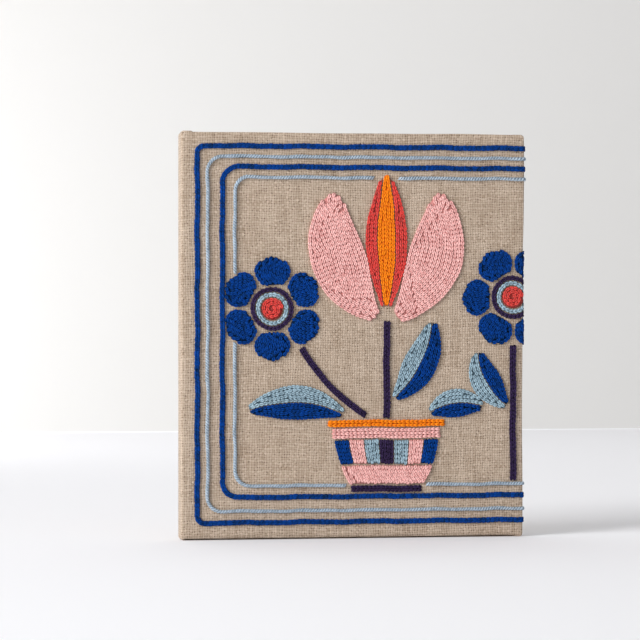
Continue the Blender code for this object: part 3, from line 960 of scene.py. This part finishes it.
@dataclass(frozen=True)
class Shape:
    """A stitched shape, which grows from its root along a line that turns evenly."""

    u: float
    v: float
    heading: float
    length: float
    turn: float
    root: float
    middle: float
    tip: float
    root_round: float = 0.0
    tip_round: float = 0.0

    def half_width(self, t: Array) -> Array:
        """Gives half the shape's width at shares of its length."""
        swell = self.middle - (self.root + self.tip) / 2
        return (self.root * (1.0 - t) + self.tip * t + swell * np.sin(np.pi * t)) / 2

    def point(self, along: Array, across: Array, shift: Array) -> tuple[Array, Array]:
        """Finds places on the flat pattern.

        Args:
            along: shares of the way along the shape.
            across: shares of its half-width, its left side being +1.
            shift: further distances to the left, in millimetres.

        Returns:
            Their u and v.
        """
        rounding = across * across / self.length
        start = self.root_round * rounding
        t = start + along * (1.0 - self.tip_round * rounding - start)
        heading = math.radians(self.heading)
        turned = heading + math.radians(self.turn) * t
        if self.turn:
            radius = self.length / math.radians(self.turn)
            u = self.u + radius * (np.sin(turned) - math.sin(heading))
            v = self.v - radius * (np.cos(turned) - math.cos(heading))
        else:
            u = self.u + self.length * t * math.cos(heading)
            v = self.v + self.length * t * math.sin(heading)
        offset = across * self.half_width(t) + shift
        return u - offset * np.sin(turned), v + offset * np.cos(turned)


def insertion_order(count: int) -> list[int]:
    """Ranks the rows of a patch: its two sides first, then whichever lies furthest from those before it.

    Args:
        count: the number of rows.

    Returns:
        The rows in the order in which a widening patch takes them in.
    """
    order = [0] if count == 1 else [0, count - 1]
    while len(order) < count:
        left = [row for row in range(count) if row not in order]
        order.append(max(left, key=lambda row: (min(abs(row - kept) for kept in order), -row)))
    return order


@dataclass(frozen=True)
class Patch:
    """One colour of a shape, between two shares of its half-width, filled with rows."""

    node: str
    shape: Shape
    slot: Slot
    low: float = -1.0
    high: float = 1.0

    def place(self, along: Array, across: Array) -> tuple[Array, Array]:
        """Finds places on the flat pattern from shares along and across the patch."""
        share = self.low + (self.high - self.low) * across
        return self.shape.point(along, share, SEAM * (0.5 - across))

    def routes(self) -> list[Route]:
        """Lays out the rows. Where the patch narrows, inner rows end and the others close up.

        Returns:
            The ways of the rows.
        """
        length = self.shape.length
        samples = max(12, round(length / ROUTE_STEP))
        along = np.linspace(0.0, 1.0, samples)
        across = (self.high - self.low) * self.shape.half_width(along) - SEAM
        fitting = np.maximum(1, np.round(across / ROW_PITCH)).astype(int)
        rank = np.argsort(insertion_order(int(fitting.max())))
        worked = rank[:, None] < fitting[None, :]
        places = (np.cumsum(worked, axis=0) - 0.5) / fitting
        ease = max(1, round(ROW_EASE / length * samples))
        kernel = np.hanning(2 * ease + 3)[1:-1]
        kernel /= kernel.sum()
        routes = []
        for row, inside in enumerate(map(np.flatnonzero, worked)):
            first, last = inside[0], inside[-1] + 1
            if (last - first) / samples * length < STITCH_LENGTH:
                continue
            share, room = (
                np.convolve(np.pad(values[first:last], ease, mode="edge"), kernel, mode="valid")
                for values in (places[row], across / fitting)
            )
            u, v = self.place(along[first:last], share[:last - first])
            routes.append(Route(u, v, room[:last - first]))
        return routes

    def bed(self) -> BMesh:
        """Makes the low bed of yarn under the rows.

        Returns:
            Its bmesh, closed, on the flat pattern.
        """
        steps = max(4, round(self.shape.length / BED_STATION))
        wide = (self.high - self.low) * self.shape.half_width(np.linspace(0.0, 1.0, steps + 1))
        mesh = bmesh.new()
        bmesh.ops.create_grid(mesh, x_segments=steps, y_segments=4, size=0.5)
        end = 1.2 * BED_INSET / self.shape.length
        for vert in mesh.verts:
            station = round((vert.co.x + 0.5) * steps)
            inset = min(0.4, BED_INSET / wide[station])
            along = end + station / steps * (1.0 - 2.0 * end)
            across = inset + (vert.co.y + 0.5) * (1.0 - 2.0 * inset)
            place = self.place(np.float64(along), np.float64(across))
            vert.co = (*wobbled(*place), BED_HEIGHT)
        rim = [edge for edge in mesh.edges if edge.is_boundary]
        for vert in only(BMVert, bmesh.ops.extrude_edge_only(mesh, edges=rim)["geom"]):
            vert.co.z = -LINEN_THICKNESS / 2
        close_holes(mesh)
        bmesh.ops.recalc_face_normals(mesh, faces=mesh.faces)
        return mesh


def add_bed(piece: YarnMesh, mesh: BMesh) -> None:
    """Adds a bed of yarn to a piece, bent round the right-hand edge and cut before the back.

    Args:
        piece: the piece that it goes into.
        mesh: the closed bed on the flat pattern, in millimetres. It is freed.
    """
    furthest = max(vert.co.x for vert in mesh.verts)
    if furthest > SIDE_END:
        cut = cut_across(mesh, 0, SIDE_END, clear_outer=True)
        bmesh.ops.edgeloop_fill(mesh, edges=only(BMEdge, cut))
    if furthest > BEND_START:
        for step in range(BEND_STEPS + 1):
            cut_across(mesh, 0, BEND_START + BEND_LENGTH * step / BEND_STEPS, dist=0.02)
    template = Template.from_bmesh(mesh)
    # The bed takes a tone of -1, so it is painted in the dark groove colour: painted shade in the pits
    # between rows
    piece.add_copies(template, on_linen(*template.points.T)[None], np.array([-1.0]), np.zeros(1))


@dataclass(frozen=True)
class Border:
    """A line round the picture: its middle's distance from the edges, its width and its corners' radius."""

    left: float
    top: float
    bottom: float
    width: float
    radius: float
    slot: Slot

    @property
    def marks(self) -> Array:
        """How far along the line its top run, its first corner, its left run and its second corner end."""
        run, arc = SIDE_END - self.left - self.radius, self.radius * math.pi / 2
        return np.cumsum([run, arc, HEIGHT - self.top - self.bottom - 2 * self.radius, arc])

    @property
    def length(self) -> float:
        """The length of the whole line, whose bottom run is as long as its top run."""
        return float(self.marks[3] + self.marks[0])

    def on_left(self, v: float) -> float:
        """The distance along the line to a place on its left run."""
        return float(self.marks[1]) + HEIGHT - self.top - self.radius - v

    def on_bottom(self, u: float) -> float:
        """The distance along the line to a place on its bottom run."""
        return self.length - (SIDE_END - u)

    def route(self, start: float, end: float) -> Route:
        """Lays out a stretch of the line, which runs from the right along the top, down and back.

        Args:
            start: the distance at which it starts.
            end: the distance at which it ends.

        Returns:
            Its way.
        """
        d = np.linspace(start, end, round((end - start) / ROUTE_STEP))
        high = HEIGHT - self.top - self.radius
        marks = self.marks
        upper = np.clip((d - marks[0]) / self.radius, 0.0, math.pi / 2)
        lower = np.clip((d - marks[2]) / self.radius, 0.0, math.pi / 2)
        u = self.left + self.radius - self.radius * np.sin(upper) + self.radius * (1.0 - np.cos(lower))
        u = u + np.maximum(marks[0] - d, 0.0) + np.maximum(d - marks[3], 0.0)
        v = high + self.radius * np.cos(upper) - self.radius * np.sin(lower)
        v = v - np.clip(d - marks[1], 0.0, marks[2] - marks[1])
        return Route(u, v, self.width)


@dataclass
class StretcherBars:
    """The four pine bars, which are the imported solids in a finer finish."""

    grains: dict[str, Grain] = field(default_factory=lambda: {
        "bar_top": Grain.ACROSS, "bar_bottom": Grain.ACROSS,
        "bar_left": Grain.UPRIGHT, "bar_right": Grain.UPRIGHT,
    })

    def build(self) -> None:
        """Gives each bar pine whose grain runs along it."""
        finishes = {grain: PlanedPine(grain).material() for grain in Grain}
        for node, grain in self.grains.items():
            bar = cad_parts[node]
            bar.data.materials.clear()
            bar.data.materials.append(finishes[grain])
            LOG.info("%s: pine, grain %s", node, grain.name.lower())


@dataclass
class LinenSheet:
    """The linen, wrapped over the bars and turned over behind, with its corner folds and its raw hem."""

    cell: float = 9.0
    outer_cut: float = 5.0
    left_rise: float = 1.0
    right_rise: float = 0.3
    sunk: float = 0.3
    warp_bow: float = 0.9
    hem_reach: float = 8.0
    hem_corner: float = 6.0

    def skin(self) -> BMesh:
        """Makes the outside of the wrapped cloth, open behind, with cuts close enough to give.

        Returns:
            Its bmesh, in millimetres.
        """
        mesh = bmesh.new()
        bmesh.ops.create_cube(mesh, size=1.0)
        bmesh.ops.scale(mesh, vec=(WIDTH, DEPTH, HEIGHT), verts=mesh.verts)
        bmesh.ops.translate(mesh, vec=(0.0, 0.0, HEIGHT / 2), verts=mesh.verts)
        for deep, radius in ((True, CORNER_RADIUS), (False, EDGE_RADIUS)):
            edges = [e for e in mesh.edges if (abs(e.verts[0].co.y - e.verts[1].co.y) > 1.0) == deep]
            round_off(mesh, edges, radius)
        inner = (WIDTH / 2 - TURNOVER, HEIGHT / 2 - TURNOVER)
        cut = self.outer_cut
        across = np.linspace(cut - WIDTH / 2, WIDTH / 2 - cut, round(WIDTH / self.cell))
        up = np.linspace(cut, HEIGHT - cut, round(HEIGHT / self.cell))
        cuts = ((-inner[0], inner[0], *across), (-cut, 0.0, cut), (TURNOVER, HEIGHT - TURNOVER, *up))
        for axis, places in enumerate(cuts):
            for place in places:
                cut_across(mesh, axis, place, dist=0.01)
        opening = []
        for face in mesh.faces:
            x, y, z = face.calc_center_median()
            if y > DEPTH / 2 - 0.01 and abs(x) < inner[0] and abs(z - HEIGHT / 2) < inner[1]:
                opening.append(face)
        bmesh.ops.delete(mesh, geom=opening, context="FACES")
        return mesh

    def wave_hem(self, mesh: BMesh) -> None:
        """Lets the hem behind run as unevenly as it was cut.

        Args:
            mesh: the skin.
        """
        wave = 2 * math.pi / HEM_WAVE_LENGTH
        for vert in mesh.verts:
            if vert.co.y > DEPTH / 2 - 0.01:
                x_edge, z_edge = abs(abs(vert.co.x) - WIDTH / 2), min(vert.co.z, HEIGHT - vert.co.z)
                near_side = max(0.0, 1.0 - abs(x_edge - TURNOVER) / self.hem_reach)
                near_end = max(0.0, 1.0 - abs(z_edge - TURNOVER) / self.hem_reach)
                if near_side and z_edge > TURNOVER - self.hem_corner:
                    vert.co.x += near_side * HEM_WAVE * math.sin(vert.co.z * wave)
                if near_end and x_edge > TURNOVER - self.hem_corner:
                    vert.co.z += near_end * HEM_WAVE * math.sin(vert.co.x * wave + 1.0)

    def add_flap(self, cloth: BMesh, corners: Sequence[Point], rise: Vector) -> None:
        """Adds a folded layer of cloth with a soft edge.

        Args:
            cloth: what it is added to.
            corners: the corners of its underside, in millimetres.
            rise: how far and which way it stands off.
        """
        mesh = bmesh.new()
        bmesh.ops.create_circle(mesh, cap_ends=True, segments=len(corners), radius=1.0)
        for vert, corner in zip(mesh.verts, corners):
            vert.co = corner
        upper = only(BMVert, bmesh.ops.extrude_face_region(mesh, geom=mesh.faces[:])["geom"])
        bmesh.ops.translate(mesh, vec=rise, verts=upper)
        bmesh.ops.recalc_face_normals(mesh, faces=mesh.faces)
        round_off(mesh, [e for e in mesh.edges if all(v in upper for v in e.verts)], rise.length * 0.75)
        holder = bpy.data.meshes.new("flap")
        mesh.to_mesh(holder)
        mesh.free()
        cloth.from_mesh(holder)
        bpy.data.meshes.remove(holder)

    def add_flaps(self, cloth: BMesh) -> None:
        """Adds the folds behind at each corner, and those on the top side.

        Args:
            cloth: what they are added to.
        """
        near, far = BACK_FOLD_INSET, BACK_FOLD_REACH
        for side in (-1, 1):
            for end in (-1, 1):
                corners = [
                    (side * (WIDTH / 2 - a), DEPTH / 2 - self.sunk, b if end < 0 else HEIGHT - b)
                    for a, b in ((near, near), (far, near), (far, far - 0.5))
                ]
                self.add_flap(cloth, corners, Vector((0.0, self.sunk + BACK_FOLD_RISE, 0.0)))
        deep = DEPTH / 2 - EDGE_RADIUS - 0.5
        left = ((-151.0, -deep), (-142.4, -deep), (-144.2, deep), (-151.0, deep))
        right = ((150.8, deep), (141.5, deep), (143.5, -deep), (150.8, -deep))
        for fold, rise in ((left, self.left_rise), (right, self.right_rise)):
            corners = [(x, y, HEIGHT - self.sunk) for x, y in fold]
            self.add_flap(cloth, corners, Vector((0.0, 0.0, self.sunk + rise)))

    def map_cloth(self, mesh: BMesh) -> None:
        """Gives the cloth its own grid in millimetres, bowed a little where the staples pull.

        Args:
            mesh: the finished cloth, in millimetres.
        """
        cloth = mesh.loops.layers.uv.new("cloth")
        bow = self.warp_bow
        for face in mesh.faces:
            turned = max(range(3), key=lambda axis: abs(face.normal[axis]))
            for loop in face.loops:
                x, y, z = loop.vert.co
                side = math.copysign(WIDTH / 2 + y + DEPTH / 2, face.normal.x)
                end = HEIGHT + y + DEPTH / 2 if face.normal.z > 0 else -(y + DEPTH / 2)
                u, v = ((side, z), (x, z), (x, end))[turned]
                loop[cloth].uv = (u + bow * math.sin(v / 41.0 + 0.4), v + bow * math.sin(u / 37.0 + 1.1))

    def build(self) -> None:
        """Makes the cloth."""
        mesh = self.skin()
        self.wave_hem(mesh)
        bmesh.ops.recalc_face_normals(mesh, faces=mesh.faces)
        bmesh.ops.solidify(mesh, geom=mesh.faces[:], thickness=LINEN_THICKNESS)
        self.add_flaps(mesh)
        for vert, place in zip(mesh.verts, eased(np.array([v.co[:] for v in mesh.verts]))):
            vert.co = place
        mesh.normal_update()
        self.map_cloth(mesh)
        bmesh.ops.scale(mesh, vec=(MM, MM, MM), verts=mesh.verts)
        for face in mesh.faces:
            face.smooth = True
        sheet = add_piece("linen_cloth", mesh, LinenCloth())
        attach(sheet, BODY)
        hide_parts("linen")


def dress(piece: bpy.types.Object, slot: Slot, finish: bpy.types.Material) -> None:
    """Gives a yarn piece its material and its body.

    Args:
        piece: the piece.
        slot: the record's slot for it; not used.
        finish: the material.
    """
    piece.data.materials.append(finish)
    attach(piece, BODY)
    LOG.info("%s: %d faces", piece.name, len(piece.data.polygons))


@dataclass
class RunningBack:
    """The wrong side of the stitching, seen from behind through the frame: short bars from hole to hole."""

    inside_bars: float = BAR_WIDTH + 1.8
    stitches: dict[Slot, YarnMesh] = field(default_factory=dict)
    template: Template = field(init=False)

    def __post_init__(self) -> None:
        """Draws one bar of yarn of unit length."""
        path = [(0.0, 0.0, 0.0), (0.14, 0.0, -0.16), (0.5, 0.0, -0.26), (0.86, 0.0, -0.16), (1.0, 0.0, 0.0)]
        self.template = sweep(path, (0.2, 0.42, 0.46, 0.42, 0.2), 5)

    def add(self, slot: Slot, route: Route, starts: list[float], length: float) -> None:
        """Adds the bars behind one row.

        Args:
            slot: the yarn.
            route: the row's way.
            starts: where each bar starts along it.
            length: how long a bar is.
        """
        count = len(starts)
        x, y, z = self.template.points.T[:, None, :]
        aside = y + HAND.normal(0.0, 0.12, count)[:, None]
        low = np.broadcast_to(z - LINEN_THICKNESS - 0.12, aside.shape)
        places = route.at(np.array(starts)[:, None] + x * length, aside, low)
        middles = places.mean(axis=1)
        seen = (np.abs(middles[:, 0]) < WIDTH / 2 - self.inside_bars) & (middles[:, 1] < 0.0)
        seen &= np.abs(middles[:, 2] - HEIGHT / 2) < HEIGHT / 2 - self.inside_bars
        self.stitches.setdefault(slot, YarnMesh()).add_copies(
            self.template, places[seen], HAND.normal(-0.05, 0.06, count)[seen],
            HAND.uniform(0.0, 9.0, count)[seen],
        )

    def build(self, finishes: dict[Slot, bpy.types.Material]) -> None:
        """Makes one piece for each yarn.

        Args:
            finishes: the material of each yarn.
        """
        for slot, mesh in self.stitches.items():
            if mesh.point_count:
                dress(mesh.build(f"wrong_side_{slot.value}"), slot, finishes[slot])


# Each shape's start and heading, its length and turn, its widths at root, middle and tip, and how
# far its ends bulge; then the patches that fill it
FOOT = Shape(POT_U - 32.0, 43.6, 0.0, 64.0, 0.0, 6.4, 6.4, 6.4)
LOWER_POT = Shape(POT_U, 47.4, 90.0, 17.0, 0.0, 66.0, 76.0, 82.0)
BLOCKS = Shape(POT_U, 65.0, 90.0, 22.0, 0.0, 83.0, 90.0, 94.0)
UPPER_POT = Shape(POT_U - 48.5, 92.4, 0.0, 97.0, 0.0, 9.6, 9.6, 9.6)
RIM = Shape(POT_U - 53.0, 101.2, 0.0, 106.0, 0.0, 6.8, 6.8, 6.8, 1.5, 1.5)
MAIN_STEM = Shape(POT_U, 105.4, 90.0, 86.0, 0.0, 6.8, 6.8, 6.8, 0.0, 0.5)
HEART = Shape(POT_U, 204.0, 90.0, 116.0, 0.0, 10.0, 38.0, 11.0, 0.0, 11.0)
LEFT_PETAL = Shape(POT_U - 9.5, 194.0, 139.0, 122.0, -61.0, 11.0, 50.0, 16.0, 2.0, 13.0)
RIGHT_PETAL = Shape(POT_U + 9.5, 194.0, 41.0, 122.0, 61.0, 11.0, 50.0, 16.0, 2.0, 13.0)
LEFT_STEM = Shape(POT_U - 18.0, 107.6, 148.0, 84.5, -28.0, 6.4, 6.4, 6.4, 0.0, 0.5)
RIGHT_STEM = Shape(296.0, 50.0, 90.0, 120.0, 0.0, 6.4, 6.4, 6.4, 0.0, 0.5)
FAR_LEFT_LEAF = Shape(POT_U - 39.0, 110.0, 156.0, 86.0, 44.0, 8.0, 31.0, 9.0, 0.0, 4.0)
LOW_RIGHT_LEAF = Shape(POT_U + 39.0, 110.0, 34.0, 50.0, -54.0, 8.0, 26.0, 9.0, 0.0, 4.0)
MAIN_LEAF = Shape(POT_U + 7.0, 124.0, 40.0, 76.0, 46.0, 8.0, 31.0, 9.0, 0.0, 4.0)
EDGE_LEAF = Shape(290.0, 116.0, 143.0, 56.0, -50.0, 8.0, 28.0, 9.0, 0.0, 4.0)

# A leaf's upper half is light blue and its lower half royal blue: +1 where the upper is the left one
LEAVES = {
    "far_left": (FAR_LEFT_LEAF, -1.0), "low_right": (LOW_RIGHT_LEAF, 1.0),
    "main": (MAIN_LEAF, 1.0), "edge": (EDGE_LEAF, 1.0),
}
HALVES = (("top", Slot.LIGHT_BLUE, 1.0), ("bottom", Slot.ROYAL_BLUE, -1.0))
PATCHES = (
    Patch("pot_foot", FOOT, Slot.AUBERGINE),
    Patch("pot_lower", LOWER_POT, Slot.PINK),
    Patch("pot_upper", UPPER_POT, Slot.PINK),
    Patch("pot_rim", RIM, Slot.ORANGE),
    Patch("main_stem", MAIN_STEM, Slot.AUBERGINE),
    Patch("tulip_left_edge", HEART, Slot.RED, 0.43, 1.0),
    Patch("tulip_heart", HEART, Slot.ORANGE, -0.43, 0.43),
    Patch("tulip_right_edge", HEART, Slot.RED, -1.0, -0.43),
    Patch("tulip_left_petal", LEFT_PETAL, Slot.PINK),
    Patch("tulip_right_petal", RIGHT_PETAL, Slot.PINK),
    Patch("left_stem", LEFT_STEM, Slot.AUBERGINE),
    Patch("right_stem", RIGHT_STEM, Slot.AUBERGINE),
    *(
        Patch(f"{leaf}_leaf_{half}", shape, slot, min(side * upper, 0.0), max(side * upper, 0.0))
        for leaf, (shape, upper) in LEAVES.items() for half, slot, side in HALVES
    ),
)
BLOCK_SLOTS = (
    Slot.ROYAL_BLUE, Slot.PINK, Slot.LIGHT_BLUE, Slot.AUBERGINE, Slot.LIGHT_BLUE, Slot.PINK, Slot.ROYAL_BLUE,
)

# The rings round a flower's disc: their inner and outer radius
FLOWER_RINGS = (("halo", 10.6, 14.6, Slot.LIGHT_BLUE), ("outline", 15.0, 19.4, Slot.AUBERGINE))


@dataclass
class YarnWork:
    """All the stitching: borders, filled patches and round flowers, worked in one pass."""

    chain: ChainStitch = field(default_factory=ChainStitch)
    rope: ChainStitch = field(default_factory=lambda: ChainStitch(
        half=(
            (-0.70, 0.45, 0.45), (0.20, 0.72, 0.90), (1.30, 0.82, 1.00),
            (2.40, 0.82, 1.00), (3.30, 0.74, 0.90), (4.00, 0.42, 0.62),
        ),
        radii=(0.80, 1.12, 1.22, 1.22, 1.14, 0.95), hollow_shade=0.35, lit=(0.4, 1.9), fill=1.12,
        tone=-0.24,
    ))
    cord: CouchedCord = field(default_factory=CouchedCord)
    back: RunningBack = field(default_factory=RunningBack)
    finishes: dict[Slot, bpy.types.Material] = field(
        default_factory=lambda: {slot: wool.material() for slot, wool in WOOLS.items()},
    )

    def finish_piece(self, mesh: YarnMesh, node: str, slot: Slot,
                     finish: bpy.types.Material | None = None) -> None:
        """Makes a piece that stands for a node of the same name.

        Args:
            mesh: its stitches.
            node: the node.
            slot: the yarn.
            finish: its material, or None for the yarn's own.
        """
        piece = mesh.build(f"stitched_{node}")
        dress(piece, slot, finish or self.finishes[slot])
        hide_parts(node)

    def fill_in(self, node: str, slot: Slot, bed: BMesh, routes: Sequence[Route]) -> None:
        """Fills one patch with rows of chain stitch, and adds their wrong side.

        Args:
            node: the node that it stands for.
            slot: the yarn.
            bed: the bed under the rows.
            routes: the ways of the rows.
        """
        mesh = YarnMesh()
        add_bed(mesh, bed)
        for route in routes:
            starts = self.chain.work(mesh, route)
            self.back.add(slot, route, starts, BACK_STITCH)
        self.finish_piece(mesh, node, slot)

    def patch(self, patch: Patch) -> None:
        """Fills one patch of a shape."""
        self.fill_in(patch.node, patch.slot, patch.bed(), patch.routes())

    def ring_bed(self, centre: tuple[float, float], inner: float, outer: float) -> BMesh:
        """Makes the bed under a disc or ring.

        Args:
            centre: its middle on the flat pattern.
            inner: its inner radius, or zero for a disc.
            outer: its outer radius.

        Returns:
            The closed bed.
        """
        mesh = bmesh.new()
        bmesh.ops.create_circle(mesh, cap_ends=not inner, segments=RING_SEGMENTS, radius=outer - BED_INSET)
        if inner:
            share = (inner + BED_INSET) / (outer - BED_INSET)
            grown = bmesh.ops.extrude_edge_only(mesh, edges=mesh.edges[:])["geom"]
            bmesh.ops.scale(mesh, vec=(share, share, 1.0), verts=only(BMVert, grown))
        for vert in mesh.verts:
            u, v = np.float64(centre[0] + vert.co.x), np.float64(centre[1] + vert.co.y)
            vert.co = (*wobbled(u, v), BED_HEIGHT)
        grown = bmesh.ops.extrude_face_region(mesh, geom=mesh.faces[:])["geom"]
        for vert in only(BMVert, grown):
            vert.co.z = -LINEN_THICKNESS / 2
        bmesh.ops.recalc_face_normals(mesh, faces=mesh.faces)
        return mesh

    def flower(self, name: str, centre: tuple[float, float], first: float) -> None:
        """Fills a round flower: a disc in one spiral row, two rings of one row each, and the petals.

        Args:
            name: the start of its nodes' names.
            centre: its middle.
            first: the direction of its first petal, in degrees.
        """
        def turning(angle: Array, reach: Array | float, room: float) -> Route:
            """Lays out a way round the middle."""
            return Route(centre[0] + reach * np.cos(angle), centre[1] + reach * np.sin(angle), room)

        turns = np.linspace(0.0, (DISC_RADIUS - ROW_PITCH) / ROW_PITCH + DISC_LEAD, 400)
        inwards = ROW_PITCH * np.maximum(turns - DISC_LEAD, 0.0)
        reach = np.maximum(DISC_RADIUS - ROW_PITCH / 2 - inwards, DISC_EYE)
        spiral = turning(2 * math.pi * turns, reach, ROW_PITCH)
        self.fill_in(f"{name}_disc", Slot.RED, self.ring_bed(centre, 0.0, DISC_RADIUS), [spiral])
        for ring, inner, outer, slot in FLOWER_RINGS:
            angle = np.linspace(RING_START, RING_START + 2 * math.pi, 300)
            circle = turning(angle, (inner + outer) / 2, outer - inner)
            self.fill_in(f"{name}_{ring}", slot, self.ring_bed(centre, inner, outer), [circle])
        for i in range(PETALS):
            degrees = first + 360.0 * i / PETALS
            u = centre[0] + PETAL_START * math.cos(math.radians(degrees))
            v = centre[1] + PETAL_START * math.sin(math.radians(degrees))
            petal = Shape(u, v, degrees, PETAL_LENGTH, 0.0, 17.0, 33.0, 16.0, 1.0, 7.0)
            self.patch(Patch(f"{name}_petal_{i + 1}", petal, Slot.ROYAL_BLUE))

    def borders(self) -> None:
        """Works the four lines round the picture. The innermost gives way to the plants."""
        outer_blue = Border(14.0, 12.0, 15.0, 4.6, 6.0, Slot.ROYAL_BLUE)
        inner_blue = Border(36.0, 30.0, 37.0, 4.6, 15.0, Slot.ROYAL_BLUE)
        for node, border in (("border_1", outer_blue), ("border_3", inner_blue)):
            mesh = YarnMesh()
            route = border.route(0.0, border.length)
            starts = self.rope.work(mesh, route, ROPE_STITCH)
            self.back.add(border.slot, route, starts, BACK_STITCH)
            self.finish_piece(mesh, node, border.slot)
        outer = Border(23.0, 21.0, 25.0, 2.8, 13.0, Slot.LIGHT_BLUE)
        inner = Border(47.0, 39.0, 47.0, 2.8, 13.0, Slot.LIGHT_BLUE)
        tulip, (_, flower) = SIDE_END - POT_U, LEFT_FLOWER
        stretches = (
            ("2", outer, 0.0, outer.length),
            ("4_top_right", inner, 0.0, tulip - TULIP_GAP),
            ("4_top_left", inner, tulip + TULIP_GAP, inner.on_left(flower + FLOWER_GAP)),
            ("4_lower_left", inner, inner.on_left(flower - FLOWER_GAP), inner.on_bottom(POT_U - POT_GAP)),
            ("4_lower_right", inner, inner.on_bottom(POT_U + POT_GAP), inner.length),
        )
        cord_finish = CORD_WOOL.material()
        for name, border, start, end in stretches:
            mesh = YarnMesh(weld=0.01)
            route = border.route(start, end)
            sewn = self.cord.work(mesh, route, dips=(start > 0.0, end < border.length))
            self.back.add(border.slot, route, sewn, self.cord.sewn_length)
            self.finish_piece(mesh, f"border_{name}", border.slot, cord_finish)

    def build(self) -> None:
        """Works everything, then makes the wrong side."""
        self.borders()
        for patch in PATCHES:
            self.patch(patch)
        count = len(BLOCK_SLOTS)
        for i, slot in enumerate(BLOCK_SLOTS):
            low = 1.0 - 2.0 * (i + 1) / count
            self.patch(Patch(f"pot_block_{i + 1}", BLOCKS, slot, low, low + 2.0 / count))
        self.flower("left_flower", LEFT_FLOWER, 90.0)
        self.flower("right_flower", RIGHT_FLOWER, 60.0)
        self.back.build(self.finishes)


@dataclass
class Staples:
    """The staples that hold the turned-over linen to the bars."""

    size: Point = (12.0, 0.7, 1.25)
    sunk: float = 0.12
    inset: float = 13.0
    spacing: float = 47.0
    margin: float = 8.0

    def places(self) -> list[Point]:
        """Works out where each staple lies behind.

        Returns:
            For each, x and z in millimetres and its turn in degrees.
        """
        found = []
        for upright, length in ((False, WIDTH), (True, HEIGHT)):
            count = round((length - 2 * TURNOVER) / self.spacing)
            for i in range(count + 1):
                along = TURNOVER + self.margin + (length - 2 * TURNOVER - 2 * self.margin) * i / count
                for far in (False, True):
                    x, z = along - WIDTH / 2, HEIGHT - self.inset if far else self.inset
                    if upright:
                        x, z = (WIDTH / 2 - self.inset) * (1 if far else -1), along
                    found.append((x, z, 90.0 if upright else 0.0))
        return found

    def build(self) -> None:
        """Makes all the staples as one piece."""
        random = np.random.default_rng(SEED + 1)
        mesh = bmesh.new()
        for x, z, turn in self.places():
            start = len(mesh.verts)
            bmesh.ops.create_cube(mesh, size=1.0)
            mesh.verts.ensure_lookup_table()
            made = mesh.verts[start:]
            bmesh.ops.scale(mesh, vec=self.size, verts=made)
            tilt = Matrix.Rotation(math.radians(turn + random.normal(0.0, 5.0)), 3, "Y")
            bmesh.ops.rotate(mesh, cent=(0.0, 0.0, 0.0), matrix=tilt, verts=made)
            aside = random.normal(0.0, 1.2, 2)
            y = DEPTH / 2 + self.size[1] / 2 - self.sunk
            bmesh.ops.translate(mesh, vec=(x + aside[0], y, z + aside[1]), verts=made)
        round_off(mesh, mesh.edges[:], 0.2, segments=2)
        bmesh.ops.scale(mesh, vec=(MM, MM, MM), verts=mesh.verts)
        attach(add_piece("staples", mesh, StapleWire()), BODY)


@dataclass
class Studio:
    """The pale table and wall, the soft light from the left, and the camera."""

    eye: Point = (-0.486, -2.6028, 0.192)
    turn: float = -9.98
    lens: float = 168.75
    wall: float = 2.48
    corner: float = 0.004
    reach: float = 14.0
    room_light: float = 0.34

    def sweep_board(self) -> None:
        """Makes the floor, which curves up into the wall behind."""
        mesh = bmesh.new()
        profile = [(-self.reach, 0.0)]
        for i in range(5):
            angle = math.pi / 2 * i / 4
            y = self.wall - self.corner + self.corner * math.sin(angle)
            profile.append((y, self.corner - self.corner * math.cos(angle)))
        profile.append((self.wall, 5.0))
        rim = [mesh.verts.new((-self.reach, y, z)) for y, z in profile]
        edges = [mesh.edges.new(pair) for pair in zip(rim, rim[1:])]
        moved = only(BMVert, bmesh.ops.extrude_edge_only(mesh, edges=edges)["geom"])
        bmesh.ops.translate(mesh, vec=(2 * self.reach, 0.0, 0.0), verts=moved)
        bmesh.ops.recalc_face_normals(mesh, faces=mesh.faces)
        for face in mesh.faces:
            face.smooth = True
            face.material_index = int(face.calc_center_median().z > self.corner / 2)
        boards = PaleBoard("cool_white", "F9F9FC"), PaleBoard("warm_white", "E2E1DF")
        add_piece("table_and_wall", mesh, *boards)

    def light(self, name: str, place: Point, aim: Point, size: float, watts: float) -> None:
        """Adds a square soft light.

        Args:
            name: its name.
            place: where it stands.
            aim: the point that it faces.
            size: its side in metres.
            watts: its power.
        """
        data = bpy.data.lights.new(name, "AREA")
        data.size = size
        data.energy = watts
        lamp = add_object(name, data)
        lamp.location = place
        lamp.rotation_euler = (Vector(aim) - Vector(place)).to_track_quat("-Z", "Y").to_euler()

    def build(self) -> None:
        """Makes the set, the lights and the camera."""
        self.sweep_board()
        self.light("window", (-3.5, -2.05, 1.65), (0.0, 0.0, 0.18), 2.2, 182.0)
        self.light("wall_wash", (-1.1, 1.78, 0.26), (0.2, self.wall, -0.1), 0.5, 7.0)
        self.light("ceiling", (0.2, 0.9, 3.0), (0.2, 0.9, 0.0), 2.6, 20.0)
        world = bpy.data.worlds.new("room")
        world.use_nodes = True
        white = (1.0, 1.0, 1.0, 1.0)
        fill(world.node_tree.nodes["Background"], {"Color": white, "Strength": self.room_light})
        scene = bpy.context.scene
        scene.world = world
        scene.view_settings.view_transform = "Standard"
        data = bpy.data.cameras.new("camera")
        data.lens = self.lens
        data.sensor_width = 36.0
        data.clip_end = 50.0
        camera = add_object("camera", data)
        camera.location = self.eye
        camera.rotation_euler = (math.pi / 2, 0.0, math.radians(self.turn))
        scene.camera = camera


def main() -> None:
    """Builds the piece and its set, in the order in which they are made."""
    logging.basicConfig(level=logging.INFO, format="%(message)s")
    for part in (Studio(), StretcherBars(), LinenSheet(), Staples(), YarnWork()):
        part.build()


if __name__ == "__main__":
    main()
